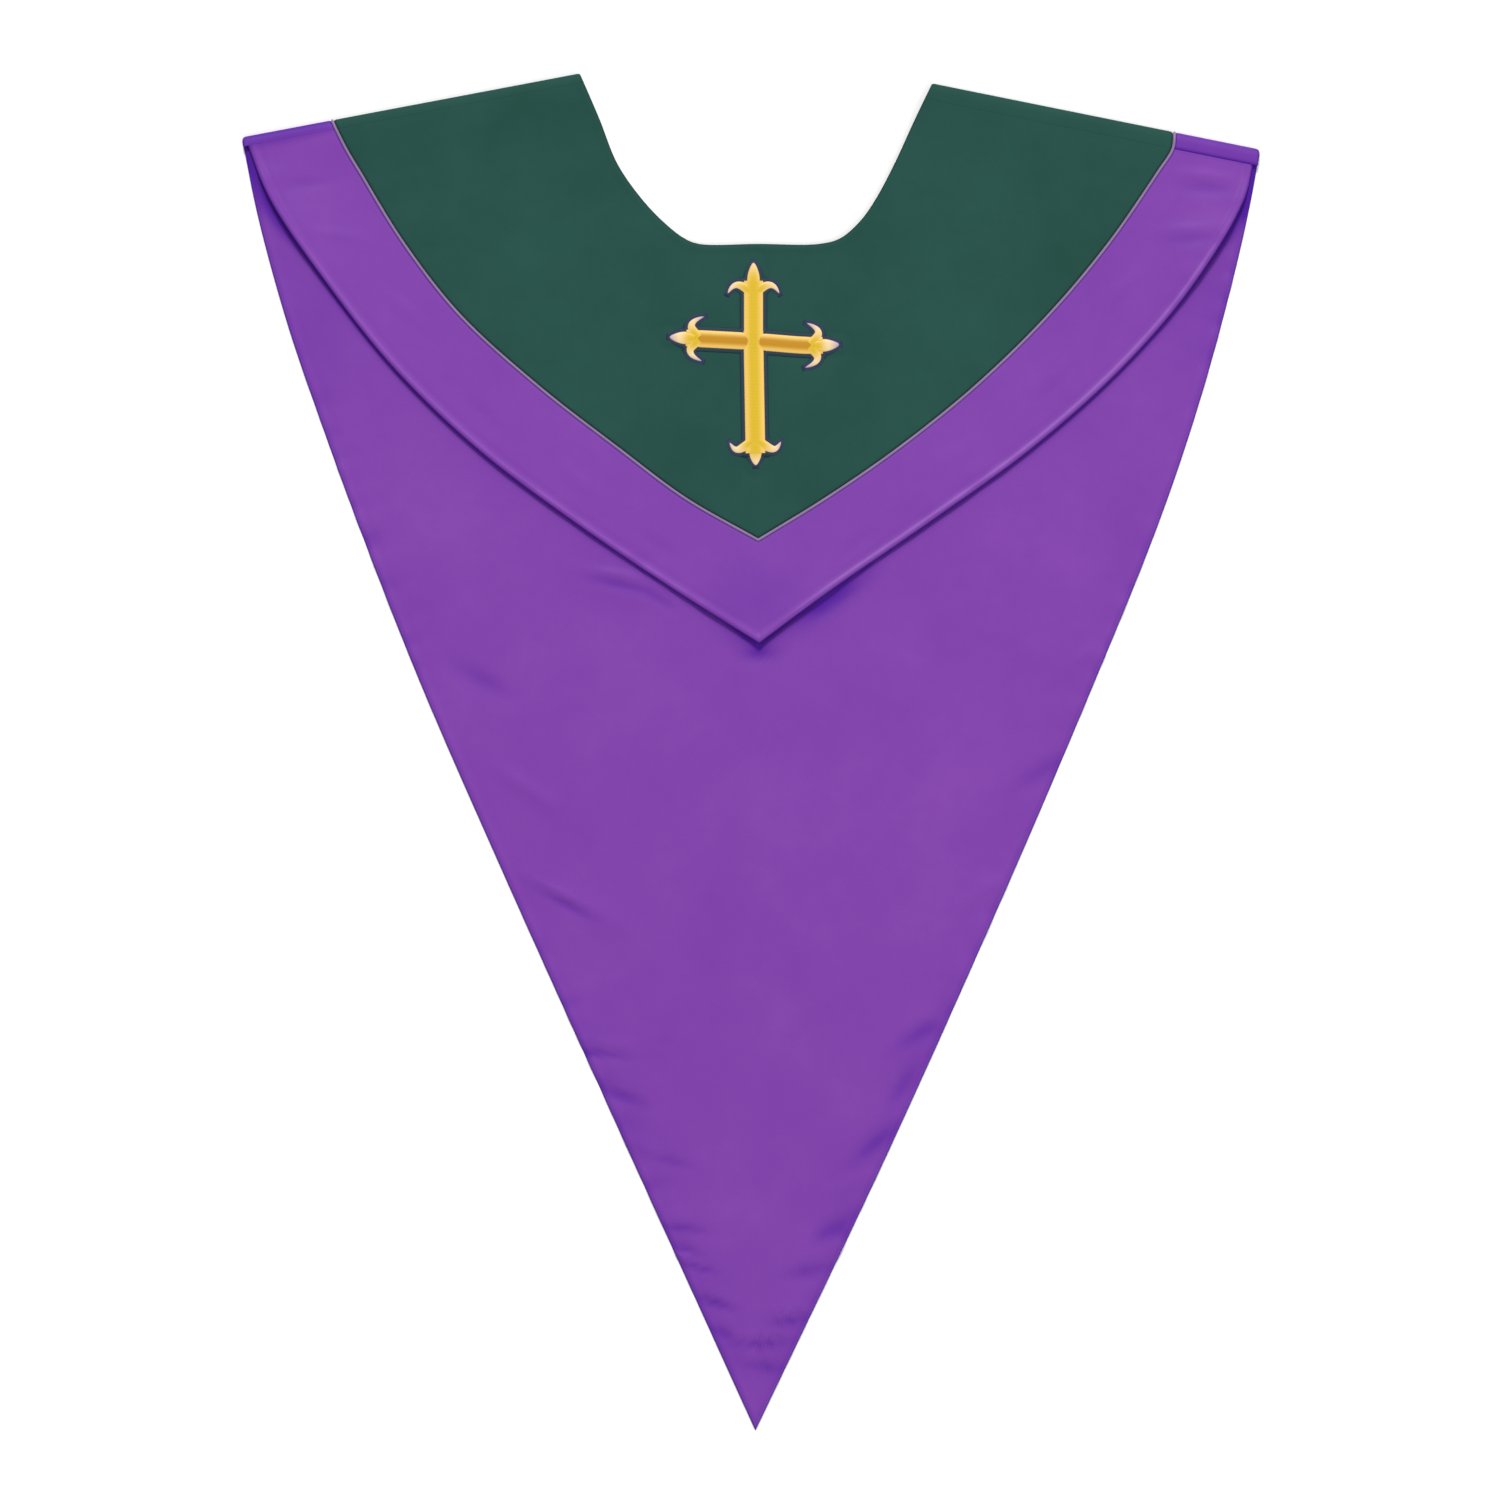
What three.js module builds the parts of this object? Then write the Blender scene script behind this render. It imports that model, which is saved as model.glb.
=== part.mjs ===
// Choir stole laid flat: a long V-shaped back panel, folded over at the shoulders, with a short
// front panel on it that has a green yoke, a piped seam, a purple band and an embroidered cross.
// Units are millimetres, +Z is up and the neck points to +Y. The origin is the middle of the
// footprint, on the surface that the cloth lies on.

import * as THREE from 'three';

// Cloth
const WALL = 1.5; // one panel: outer cloth and its own backing, bagged out
const GAP = 0.3; // space kept between neighbouring pieces
const RIM = 0.7; // how far the rounded edge of a panel reaches in
const STACK = 2 * WALL + GAP; // front panel lying on the back panel

// The hidden back neckline is cut a little lower than the front one, so that it stays hidden
const NECK_SET_BACK = 6;
const SET_BACK_EASE = 0.2; // share of the way from shoulder to middle over which it comes in

// Shoulder folds
const FOLD_RADIUS = 2.7; // outside of the soft roll, which stands a little over the stack
const FOLD_EASE = 30; // distance over which the front panel comes down from the roll
const FOLD_STEPS = 6;

// Piping
const PIPING_WIDTH = 2.0;
const PIPING_RISE = 0.5; // how far the cord stands out of the cloth
const PIPING_SIDES = 8;

// Sections along one half of each panel, from a shoulder to the middle
const BACK_SECTIONS = 30;
const FRONT_SECTIONS = 30;

// Embroidery
const THREAD_DEPTH = 1.2; // padded satin stitch
const THREAD_ROUND = 0.5;
const CROSS_CENTRE = { x: 1.4, y: 230 };

// Each shoulder line runs from the neck corner down and outwards. The turnover is the strip of
// the back panel that shows on the front, between the fold and the shoulder seam.
const SHOULDERS = {
  left: { sign: -1, neckX: -96, neckY: 380.4, slope: 10.7, turnover: 5.5 },
  right: { sign: 1, neckX: 101.6, neckY: 374.8, slope: 11.4, turnover: 9.4 },
};

// Lines of the cut. Start is the distance from the neck corner along the shoulder. Each row gives
// how far the line lies from the middle at that height, and foot is where both halves meet.
const NECKLINE = {
  start: { left: 0, right: 0 },
  rows: [
    { y: 355, left: 85, right: 92 },
    { y: 330, left: 75, right: 80.5 },
    { y: 311, left: 62, right: 70.5 },
    { y: 298, left: 50, right: 61.5 },
    { y: 288, left: 37.5, right: 50 },
    { y: 284.8, left: 29, right: 38 },
  ],
  foot: { x: 4, y: 284.8 },
};
const YOKE_SEAM = {
  start: { left: 141.5, right: 138.4 },
  rows: [
    { y: 338, left: 227, right: 236.3 },
    { y: 325, left: 219.3, right: 228.1 },
    { y: 285, left: 194.7, right: 200.5 },
    { y: 245, left: 163.4, right: 166.9 },
    { y: 205, left: 119.4, right: 125.9 },
    { y: 170, left: 74.3, right: 82.4 },
    { y: 142, left: 36.7, right: 41.8 },
  ],
  foot: { x: 4, y: 118.8 },
};
const FREE_EDGE = {
  start: { left: 191, right: 184.8 },
  rows: [
    { y: 310, left: 269.6, right: 276.3 },
    { y: 260, left: 236, right: 246.6 },
    { y: 215, left: 200.3, right: 208 },
    { y: 170, left: 153.9, right: 157.5 },
    { y: 130, left: 101.2, right: 102.2 },
    { y: 90, left: 42.1, right: 44.1 },
  ],
  foot: { x: 4.5, y: 60.8 },
};
const LONG_EDGE = {
  start: { left: 193, right: 187.7 },
  rows: [
    { y: 300, left: 276.5, right: 278.5 },
    { y: 240, left: 260, right: 264 },
    { y: 180, left: 239.5, right: 246.5 },
    { y: 120, left: 217.5, right: 225.5 },
    { y: 40, left: 186, right: 193 },
    { y: -60, left: 142.5, right: 150.5 },
    { y: -220, left: 70.5, right: 79 },
  ],
  foot: { x: 2.5, y: -380.6 },
};

// Soft creases that stay in the laid cloth: turn in degrees, reach along the crease, spread across
const BACK_CREASES = [
  { x: -96, y: -85, turn: -29, reach: 32, spread: 8, rise: 0.9 },
  { x: -72, y: 92, turn: -12, reach: 26, spread: 8, rise: 0.8 },
  { x: -46, y: -262, turn: -20, reach: 16, spread: 8, rise: 0.8 },
  { x: 40, y: -278, turn: 24, reach: 18, spread: 9, rise: 0.7 },
  { x: 88, y: -170, turn: 30, reach: 18, spread: 9, rise: 0.6 },
];
const FRONT_CREASES = [
  { x: 256, y: 314, turn: -6, reach: 16, spread: 6, rise: 0.7 },
  { x: 246, y: 286, turn: 4, reach: 16, spread: 7, rise: 0.6 },
];

// Where the free edge of the front panel stands off the back panel: place along the edge from
// shoulder (0) to point (1), and how far each lift spreads
const EDGE_LIFTS = {
  left: [
    { place: 0.1, spread: 0.12, rise: 2.2 },
    { place: 0.5, spread: 0.2, rise: 0.6 },
    { place: 1, spread: 0.12, rise: 1.6 },
  ],
  right: [
    { place: 0.08, spread: 0.12, rise: 2.4 },
    { place: 0.62, spread: 0.2, rise: 1.7 },
    { place: 1, spread: 0.12, rise: 1.6 },
  ],
};

// The cross, a traditional budded one. Each arm: direction in degrees, reach to the tip of its bud,
// half width of the bar, length of the bud, and the two hooks beside it, by how far out their
// crest and tip lie, how far the tip sweeps back, and how much the arm sags
const ARMS = [
  { turn: -2, reach: 48.1, half: 5, bud: 9.3, crest: 6.4, span: 12.3, sweep: 10, sag: 1.4 },
  { turn: 90, reach: 44.2, half: 5.3, bud: 8.6, crest: 7.6, span: 14.4, sweep: 7.2, sag: 0 },
  { turn: 177, reach: 47.1, half: 5, bud: 9.3, crest: 6.4, span: 12.3, sweep: 10, sag: 0 },
  { turn: 271, reach: 69.4, half: 5.7, bud: 6.8, crest: 10.6, span: 14.2, sweep: 6.8, sag: 0 },
];
const BUD_NECK = 3.1; // half width where a bud leaves its hooks
const BUD_BELLY = 4.5; // half width that its curved sides are drawn towards
const HOOK_THICKNESS = 4.4;
const TIP_BLUNT = 0.8; // flat end of a hook
const CROTCH = 7; // where an arm starts, just outside the crossing

const FINISHES = {
  green: { color: 0x2b544c, roughness: 0.7 },
  purple: { color: 0x8148ab, roughness: 0.55 },
  mauve: { color: 0x9a7ca8, roughness: 0.6 },
  gold: { color: 0xe0b62c, roughness: 0.45 },
};

const FOLD_SHARE = 0.4; // the fold strip ends well inside this share of each line
const HALVINGS = 30;

// Plan geometry of the shoulders and the lines of the cut

/** Unit vectors of a shoulder: along it from the neck, and square to it into the garment. */
function shoulderFrame(shoulder) {
  const slope = THREE.MathUtils.degToRad(shoulder.slope);
  return {
    along: new THREE.Vector2(shoulder.sign * Math.cos(slope), -Math.sin(slope)),
    inward: new THREE.Vector2(-shoulder.sign * Math.sin(slope), -Math.cos(slope)),
  };
}

/** How far a point lies inside the shoulder fold. */
function insetOf(side, point) {
  const shoulder = SHOULDERS[side];
  const { inward } = shoulderFrame(shoulder);
  return (point.x - shoulder.neckX) * inward.x + (point.y - shoulder.neckY) * inward.y;
}

/** One half of a line of the cut, as a smooth curve from the shoulder fold to the foot. */
function halfLine(line, side) {
  const shoulder = SHOULDERS[side];
  const { along } = shoulderFrame(shoulder);
  const points = [new THREE.Vector3(
    shoulder.neckX + along.x * line.start[side],
    shoulder.neckY + along.y * line.start[side],
    0,
  )];
  for (const row of line.rows) {
    points.push(new THREE.Vector3(shoulder.sign * row[side], row.y, 0));
  }
  points.push(new THREE.Vector3(line.foot.x, line.foot.y, 0));
  return new THREE.CatmullRomCurve3(points, false, 'centripetal');
}

/** Share of a half line's length at which it reaches an inset, found by halving. */
function shareAtInset(curve, side, inset) {
  let low = 0;
  let high = FOLD_SHARE;
  for (let step = 0; step < HALVINGS; step += 1) {
    const middle = (low + high) / 2;
    if (insetOf(side, curve.getPointAt(middle)) < inset) low = middle;
    else high = middle;
  }
  return (low + high) / 2;
}

const halfLines = new Map();
for (const line of [NECKLINE, YOKE_SEAM, FREE_EDGE, LONG_EDGE]) {
  halfLines.set(line, { left: halfLine(line, 'left'), right: halfLine(line, 'right') });
}

/** Plan point and direction of a line, at an inset or at a share of its way past a start inset. */
function sampleLine(line, side, place) {
  const curve = halfLines.get(line)[side];
  const start = shareAtInset(curve, side, place.inset);
  const share = start + (1 - start) * (place.share ?? 0);
  const point = curve.getPointAt(share);
  const tangent = curve.getTangentAt(share);
  return {
    point: new THREE.Vector2(point.x, point.y),
    tangent: new THREE.Vector2(tangent.x, tangent.y),
  };
}

/**
 * Straight section across a piece, with its clearances measured square to its two lines. A piece
 * may be set back from its inner line below the shoulders.
 */
function sectionAcross(piece, side, place) {
  const inner = sampleLine(piece.inner, side, place);
  const outer = sampleLine(piece.outer, side, place);
  const across = outer.point.clone().sub(inner.point).normalize();
  const setBack = (piece.setBack ?? 0)
    * THREE.MathUtils.smoothstep(place.share ?? 0, 0, SET_BACK_EASE);
  const lead = (piece.innerGap + setBack) / Math.abs(across.cross(inner.tangent));
  const trail = piece.outerGap / Math.abs(across.cross(outer.tangent));
  return {
    from: inner.point.addScaledVector(across, lead),
    to: outer.point.addScaledVector(across, -trail),
  };
}

// Heights of the cloth

/** Sum of the soft ridges at a point, each a bell along and across its crease. */
function creaseHeight(creases, point) {
  let height = 0;
  for (const crease of creases) {
    const turn = THREE.MathUtils.degToRad(crease.turn);
    const x = point.x - crease.x;
    const y = point.y - crease.y;
    const along = (x * Math.cos(turn) + y * Math.sin(turn)) / crease.reach;
    const across = (y * Math.cos(turn) - x * Math.sin(turn)) / crease.spread;
    height += crease.rise * Math.exp(-along * along - across * across);
  }
  return height;
}

/** How much the front panel stands up where it comes down from the shoulder roll. */
function foldRise(side, point) {
  const past = insetOf(side, point) - FOLD_RADIUS;
  return (2 * FOLD_RADIUS - STACK) * (1 - THREE.MathUtils.smoothstep(past, 0, FOLD_EASE));
}

/** Lift of the free edge of the front panel at a share of its way from shoulder to point. */
function edgeLift(side, share) {
  let lift = 0;
  for (const row of EDGE_LIFTS[side]) {
    const away = (share - row.place) / row.spread;
    lift += row.rise * Math.exp(-away * away);
  }
  return lift;
}

/** Lower and upper face of the back panel: flat below, creased above. */
function backFaces(point) {
  return { low: 0, high: WALL + creaseHeight(BACK_CREASES, point) };
}

/** Lower and upper face of the front panel, made from the back panel's upper face, moved out. */
function frontFaces(point, side, lift) {
  const rise = foldRise(side, point) + creaseHeight(FRONT_CREASES, point) + lift;
  const low = backFaces(point).high + GAP + rise;
  return { low, high: low + WALL };
}

// Stations along a panel

/** Stations of the turnover and the roll: the outer and inner face follow two arcs round it. */
function foldStations(side) {
  const { turnover } = SHOULDERS[side];
  const list = [];
  for (const inset of [turnover, (turnover + FOLD_RADIUS) / 2]) {
    const top = STACK + (2 * FOLD_RADIUS - STACK)
      * (1 - THREE.MathUtils.smoothstep(inset - FOLD_RADIUS, 0, FOLD_EASE));
    list.push({ side, outer: { inset }, inner: { inset }, outerZ: top, innerZ: top - WALL });
  }
  for (let step = 0; step <= FOLD_STEPS; step += 1) {
    const angle = Math.PI / 2 - Math.PI * (step / FOLD_STEPS);
    const inside = FOLD_RADIUS - WALL;
    list.push({
      side,
      outer: { inset: FOLD_RADIUS * (1 - Math.cos(angle)) },
      inner: { inset: FOLD_RADIUS - inside * Math.cos(angle) },
      outerZ: FOLD_RADIUS * (1 + Math.sin(angle)),
      innerZ: FOLD_RADIUS + inside * Math.sin(angle),
    });
  }
  return list;
}

/** Stations of the flat part of one half, from the shoulder to the middle. */
function flatStations(side, inset, count) {
  const list = [];
  for (let step = 0; step <= count; step += 1) {
    const place = { inset, share: step / count };
    list.push({ side, outer: place, inner: place, share: place.share });
  }
  return list;
}

/** Both halves of a panel in one row of stations, which share the middle one. */
function panelStations(half) {
  const right = half('right').reverse().slice(1);
  return [...half('left'), ...right];
}

const backStations = panelStations((side) => [
  ...foldStations(side),
  ...flatStations(side, SHOULDERS[side].turnover, BACK_SECTIONS),
]);
const frontStations = panelStations((side) => (
  flatStations(side, SHOULDERS[side].turnover + GAP, FRONT_SECTIONS)
));

// Solids

/** Points of one face along a section, from rim to rim. */
function faceRow(section, count, height) {
  const across = section.to.clone().sub(section.from);
  const length = across.length();
  across.normalize();
  const row = [];
  for (let step = 0; step < count; step += 1) {
    const way = RIM + (length - 2 * RIM) * (step / (count - 1));
    const point = section.from.clone().addScaledVector(across, way);
    row.push(new THREE.Vector3(point.x, point.y, height(point, way / length)));
  }
  return row;
}

/** Point of the rounded edge between the ends of the two faces. */
function edgePoint(planA, planB, faceA, faceB) {
  return new THREE.Vector3(
    (planA.x + planB.x) / 2,
    (planA.y + planB.y) / 2,
    (faceA.z + faceB.z) / 2,
  );
}

/** Closed ring of a cloth wall at a station: one face out, the edge, the other face back. */
function wallRing(piece, station) {
  const under = sectionAcross(piece, station.side, station.outer);
  const over = sectionAcross(piece, station.side, station.inner);
  const faces = (point, way) => piece.faces(point, station, way);
  const low = faceRow(under, piece.lowRows, (point, way) => (
    station.outerZ ?? faces(point, way).low
  ));
  const high = faceRow(over, piece.highRows, (point, way) => (
    station.innerZ ?? faces(point, way).high
  ));
  const outerEdge = edgePoint(under.to, over.to, low.at(-1), high.at(-1));
  const innerEdge = edgePoint(under.from, over.from, low[0], high[0]);
  return [...low, outerEdge, ...high.reverse(), innerEdge];
}

/** Closed ring of piping at a station: an ellipse that spans the wall and stands out of it. */
function pipingRing(piece, station) {
  const outer = sampleLine(YOKE_SEAM, station.side, station.outer);
  const inner = sampleLine(YOKE_SEAM, station.side, station.inner);
  const faces = piece.faces(outer.point, station, 0);
  const lowZ = station.outerZ ?? faces.low;
  const highZ = station.innerZ ?? faces.high;
  const { tangent } = outer;
  const sideways = new THREE.Vector2(-tangent.y, tangent.x);
  if (station.outerZ !== undefined) sideways.copy(shoulderFrame(SHOULDERS[station.side]).along);
  if (station.share === 1) sideways.set(0, 1);
  sideways.divideScalar(-SHOULDERS[station.side].sign * sideways.cross(tangent));
  const ring = [];
  for (let corner = 0; corner < PIPING_SIDES; corner += 1) {
    const angle = (2 * Math.PI * corner) / PIPING_SIDES;
    const depth = (1 + Math.sin(angle)) / 2;
    const plan = outer.point.clone().lerp(inner.point, depth);
    plan.addScaledVector(sideways, (PIPING_WIDTH / 2) * Math.cos(angle));
    const proud = piece.rise * Math.max(0, Math.sin(angle));
    ring.push(new THREE.Vector3(plan.x, plan.y, lowZ + (highZ - lowZ) * depth + proud));
  }
  return ring;
}

/** Six times the signed volume of a triangle mesh. */
function signedVolume(points, triangles) {
  let sum = 0;
  for (const [a, b, c] of triangles) {
    sum += points[a].dot(points[b].clone().cross(points[c]));
  }
  return sum;
}

/** Flat end of a loft: the ring's outline cut into triangles, seen along the loft. */
function endCap(ring, offset) {
  const first = ring[0];
  const across = new THREE.Vector2();
  for (const point of ring) {
    const away = new THREE.Vector2(point.x - first.x, point.y - first.y);
    if (away.length() > across.length()) across.copy(away);
  }
  across.normalize();
  const outline = ring.map((point) => new THREE.Vector2(
    (point.x - first.x) * across.x + (point.y - first.y) * across.y,
    point.z,
  ));
  const triangles = THREE.ShapeUtils.triangulateShape(outline, []);
  const clockwise = THREE.ShapeUtils.isClockWise(outline);
  return triangles.map(([a, b, c]) => {
    const turned = clockwise ? [a, c, b] : [a, b, c];
    return turned.map((corner) => corner + offset);
  });
}

/** Closed solid through a row of rings with equal numbers of points. */
function loftSolid(rings) {
  const size = rings[0].length;
  const points = rings.flat();
  const triangles = [];
  for (let ring = 0; ring < rings.length - 1; ring += 1) {
    for (let corner = 0; corner < size; corner += 1) {
      const a = ring * size + corner;
      const b = ring * size + ((corner + 1) % size);
      triangles.push([a, b, b + size], [a, b + size, a + size]);
    }
  }
  const last = (rings.length - 1) * size;
  const ringTurn = Math.sign(signedVolume(points, triangles));
  const caps = [endCap(rings[0], 0), endCap(rings.at(-1), last)];
  for (const cap of caps) {
    const fits = edgeMatches(cap, triangles);
    for (const [a, b, c] of cap) triangles.push(fits ? [a, b, c] : [a, c, b]);
  }
  const ordered = ringTurn < 0 ? triangles.map(([a, b, c]) => [a, c, b]) : triangles;
  const geometry = new THREE.BufferGeometry().setFromPoints(points);
  geometry.setIndex(ordered.flat());
  geometry.computeVertexNormals();
  return geometry;
}

/** Whether a cap runs along the loft's edges the opposite way, as a closed surface has it. */
function edgeMatches(cap, triangles) {
  const directed = new Set();
  for (const [a, b, c] of triangles) {
    directed.add(`${a}>${b}`).add(`${b}>${c}`).add(`${c}>${a}`);
  }
  return !cap.some(([a, b, c]) => (
    directed.has(`${a}>${b}`) || directed.has(`${b}>${c}`) || directed.has(`${c}>${a}`)
  ));
}

// Sub-parts

const backPiece = (details) => ({ faces: backFaces, ...details });
const frontPiece = (details) => ({
  faces: (point, station) => frontFaces(point, station.side, 0),
  ...details,
});
const SEAM_GAP = PIPING_WIDTH / 2 + GAP;

/** Named mesh with its own material. */
function subPart(name, geometry, finish) {
  const material = new THREE.MeshStandardMaterial({ ...finish, metalness: 0 });
  const mesh = new THREE.Mesh(geometry, material);
  mesh.name = name;
  return mesh;
}

function makeBackYoke() {
  const piece = backPiece({
    inner: NECKLINE,
    outer: YOKE_SEAM,
    innerGap: 0,
    setBack: NECK_SET_BACK,
    outerGap: SEAM_GAP,
    lowRows: 3,
    highRows: 5,
  });
  const rings = backStations.map((station) => wallRing(piece, station));
  return subPart('back_yoke', loftSolid(rings), FINISHES.green);
}

function makeBackPiping() {
  const piece = backPiece({ rise: 0 });
  const rings = backStations.map((station) => pipingRing(piece, station));
  return subPart('back_piping', loftSolid(rings), FINISHES.mauve);
}

function makeLongPanel() {
  const piece = backPiece({
    inner: YOKE_SEAM, outer: LONG_EDGE, innerGap: SEAM_GAP, outerGap: 0, lowRows: 3, highRows: 18,
  });
  const rings = backStations.map((station) => wallRing(piece, station));
  return subPart('long_panel', loftSolid(rings), FINISHES.purple);
}

function makeFrontYoke() {
  const piece = frontPiece({
    inner: NECKLINE, outer: YOKE_SEAM, innerGap: 0, outerGap: SEAM_GAP, lowRows: 4, highRows: 6,
  });
  const rings = frontStations.map((station) => wallRing(piece, station));
  return subPart('front_yoke', loftSolid(rings), FINISHES.green);
}

function makeFrontPiping() {
  const piece = frontPiece({ rise: PIPING_RISE });
  const rings = frontStations.map((station) => pipingRing(piece, station));
  return subPart('front_piping', loftSolid(rings), FINISHES.mauve);
}

/** The band lifts from the seam towards its free edge, by the square of the way across. */
function makeFrontBand() {
  const piece = frontPiece({
    inner: YOKE_SEAM,
    outer: FREE_EDGE,
    innerGap: SEAM_GAP,
    outerGap: 0,
    lowRows: 6,
    highRows: 8,
    faces: (point, station, way) => (
      frontFaces(point, station.side, edgeLift(station.side, station.share) * way * way)
    ),
  });
  const rings = frontStations.map((station) => wallRing(piece, station));
  return subPart('front_band', loftSolid(rings), FINISHES.purple);
}

/** Adds one arm of the cross to its outline, in the arm's own along and sideways measures. */
function drawArm(shape, arm) {
  const turn = THREE.MathUtils.degToRad(arm.turn);
  const at = (along, sideways) => {
    const aside = sideways - arm.sag * Math.sin(Math.PI * (along / arm.reach) ** 1.5);
    return [
      CROSS_CENTRE.x + along * Math.cos(turn) - aside * Math.sin(turn),
      CROSS_CENTRE.y + along * Math.sin(turn) + aside * Math.cos(turn),
    ];
  };
  const crestAlong = arm.reach - arm.bud;
  const hookTip = crestAlong - arm.sweep;
  const hookEnd = hookTip + TIP_BLUNT / 2;
  const armpit = crestAlong - HOOK_THICKNESS;
  const root = armpit - HOOK_THICKNESS / 2;
  const inside = (arm.half + arm.span) / 2;
  const neck = crestAlong - 1;
  const belly = crestAlong + arm.bud / 3;
  if (arm === ARMS[0]) shape.moveTo(...at(CROTCH, -arm.half));
  else shape.lineTo(...at(CROTCH, -arm.half));
  shape.lineTo(...at(root, -arm.half));
  shape.quadraticCurveTo(...at(armpit, -arm.half - 1), ...at(armpit, -inside));
  shape.lineTo(...at(hookTip, -arm.span + TIP_BLUNT));
  shape.lineTo(...at(hookEnd, -arm.span));
  shape.quadraticCurveTo(...at(crestAlong, -arm.span), ...at(crestAlong, -arm.crest));
  shape.lineTo(...at(neck, -BUD_NECK));
  shape.quadraticCurveTo(...at(belly, -BUD_BELLY), ...at(arm.reach, 0));
  shape.quadraticCurveTo(...at(belly, BUD_BELLY), ...at(neck, BUD_NECK));
  shape.lineTo(...at(crestAlong, arm.crest));
  shape.quadraticCurveTo(...at(crestAlong, arm.span), ...at(hookEnd, arm.span));
  shape.lineTo(...at(hookTip, arm.span - TIP_BLUNT));
  shape.lineTo(...at(armpit, inside));
  shape.quadraticCurveTo(...at(armpit, arm.half + 1), ...at(root, arm.half));
  shape.lineTo(...at(CROTCH, arm.half));
}

function makeCross() {
  const shape = new THREE.Shape();
  for (const arm of ARMS) drawArm(shape, arm);
  shape.closePath();
  const geometry = new THREE.ExtrudeGeometry(shape, {
    depth: THREAD_DEPTH - 2 * THREAD_ROUND,
    curveSegments: 4,
    bevelThickness: THREAD_ROUND,
    bevelSize: THREAD_ROUND,
    bevelOffset: -THREAD_ROUND,
    bevelSegments: 2,
  });
  const cloth = frontFaces(CROSS_CENTRE, 'left', 0).high;
  geometry.translate(0, 0, cloth + GAP + THREAD_ROUND);
  return subPart('embroidered_cross', geometry, FINISHES.gold);
}

const backPanel = new THREE.Group();
backPanel.add(makeBackYoke(), makeBackPiping(), makeLongPanel());

const frontPanel = new THREE.Group();
frontPanel.add(makeFrontYoke(), makeFrontPiping(), makeFrontBand(), makeCross());

const stole = new THREE.Group();
stole.add(backPanel, frontPanel);

export default stole;
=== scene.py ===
# %% [markdown]
# # A choir stole laid flat
# The real garment is two bagged-out panels of satin, a long one at the back and a short one at
# the front, joined at the shoulders. It lies flat and is seen from straight above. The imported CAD
# model gives the frame, and every cell below dresses one of its solids.

# %% Frame
import math
from functools import partial

import bpy
import numpy as np
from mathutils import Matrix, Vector


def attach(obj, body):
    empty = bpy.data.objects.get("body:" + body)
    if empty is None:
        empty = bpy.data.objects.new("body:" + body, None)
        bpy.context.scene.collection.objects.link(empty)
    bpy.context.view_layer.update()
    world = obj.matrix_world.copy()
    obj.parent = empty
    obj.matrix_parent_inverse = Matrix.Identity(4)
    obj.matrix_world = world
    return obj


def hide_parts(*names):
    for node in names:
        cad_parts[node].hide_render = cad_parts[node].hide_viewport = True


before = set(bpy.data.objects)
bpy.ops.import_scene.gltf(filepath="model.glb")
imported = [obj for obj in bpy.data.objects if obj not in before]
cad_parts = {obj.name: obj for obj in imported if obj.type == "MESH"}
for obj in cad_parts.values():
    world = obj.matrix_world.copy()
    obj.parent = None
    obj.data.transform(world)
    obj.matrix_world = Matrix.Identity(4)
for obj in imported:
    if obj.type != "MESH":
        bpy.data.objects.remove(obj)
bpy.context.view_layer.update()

MM = 0.001

# %% [markdown]
# ## Camera
# A cut-out on white, seen square on: the camera looks straight down with the neck at the top of
# the picture. A long lens keeps the edges free of perspective. The frame is 1500 pixels wide, and
# the garment's length of 762 mm gives the size of one pixel.

# %% Camera
PIXEL = 0.56112 * MM
FRAME_PIXELS = 1500
LENS = 100.0
SENSOR = 36.0

camera_data = bpy.data.cameras.new("camera")
camera_data.lens = LENS
camera_data.sensor_width = SENSOR
camera = bpy.data.objects.new("camera", camera_data)
camera.location = (-PIXEL, 2 * PIXEL, FRAME_PIXELS * PIXEL * LENS / SENSOR)
bpy.context.scene.collection.objects.link(camera)
bpy.context.scene.camera = camera
print("camera height", round(camera.location.z, 3))

# %% [markdown]
# ## Light
# The shadows in the photo are short and fall towards the pointed hem, a little to the right, so
# one broad light stands beyond the neck, a little to the left. A weak one opposite and an even
# white surround keep the shadows soft. Far lights light both ends of the cloth alike.


# %% Light
def soft_light(name, place, width, power):
    """A square area light at a place, turned so that it points at the middle of the cloth."""
    data = bpy.data.lights.new(name, "AREA")
    data.size = width
    data.energy = power
    light = bpy.data.objects.new(name, data)
    light.location = place
    light.rotation_mode = "QUATERNION"
    light.rotation_quaternion = (-Vector(place)).to_track_quat("-Z", "Y")
    bpy.context.scene.collection.objects.link(light)


soft_light("key", (-0.3, 4.4, 4.5), 1.2, 286.0)
soft_light("fill", (2.6, -2.2, 2.8), 2.4, 64.0)

world = bpy.data.worlds.new("studio")
bpy.context.scene.world = world
world.use_nodes = True
surround = world.node_tree.nodes["Background"]
surround.inputs["Color"].default_value = (1.0, 1.0, 1.0, 1.0)
surround.inputs["Strength"].default_value = 0.5
bpy.context.scene.view_settings.view_transform = "Standard"

# %% [markdown]
# ## Nodes and colours
# Cloth colours are read off the photo as sRGB hex values, and one function turns them to the
# linear values that the shader works in. Others add a node, set it up and link it.


# %% Node helper
def linear(hex_colour, alpha=1.0):
    """Linear colour of an sRGB hex value: ((c + 0.055) / 1.055) ^ 2.4, and c / 12.92 near black."""
    srgb = np.array([int(hex_colour[i:i + 2], 16) for i in (1, 3, 5)]) / 255
    curve = np.where(srgb > 0.04045, ((srgb + 0.055) / 1.055) ** 2.4, srgb / 12.92)
    return (*curve.tolist(), alpha)


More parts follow.
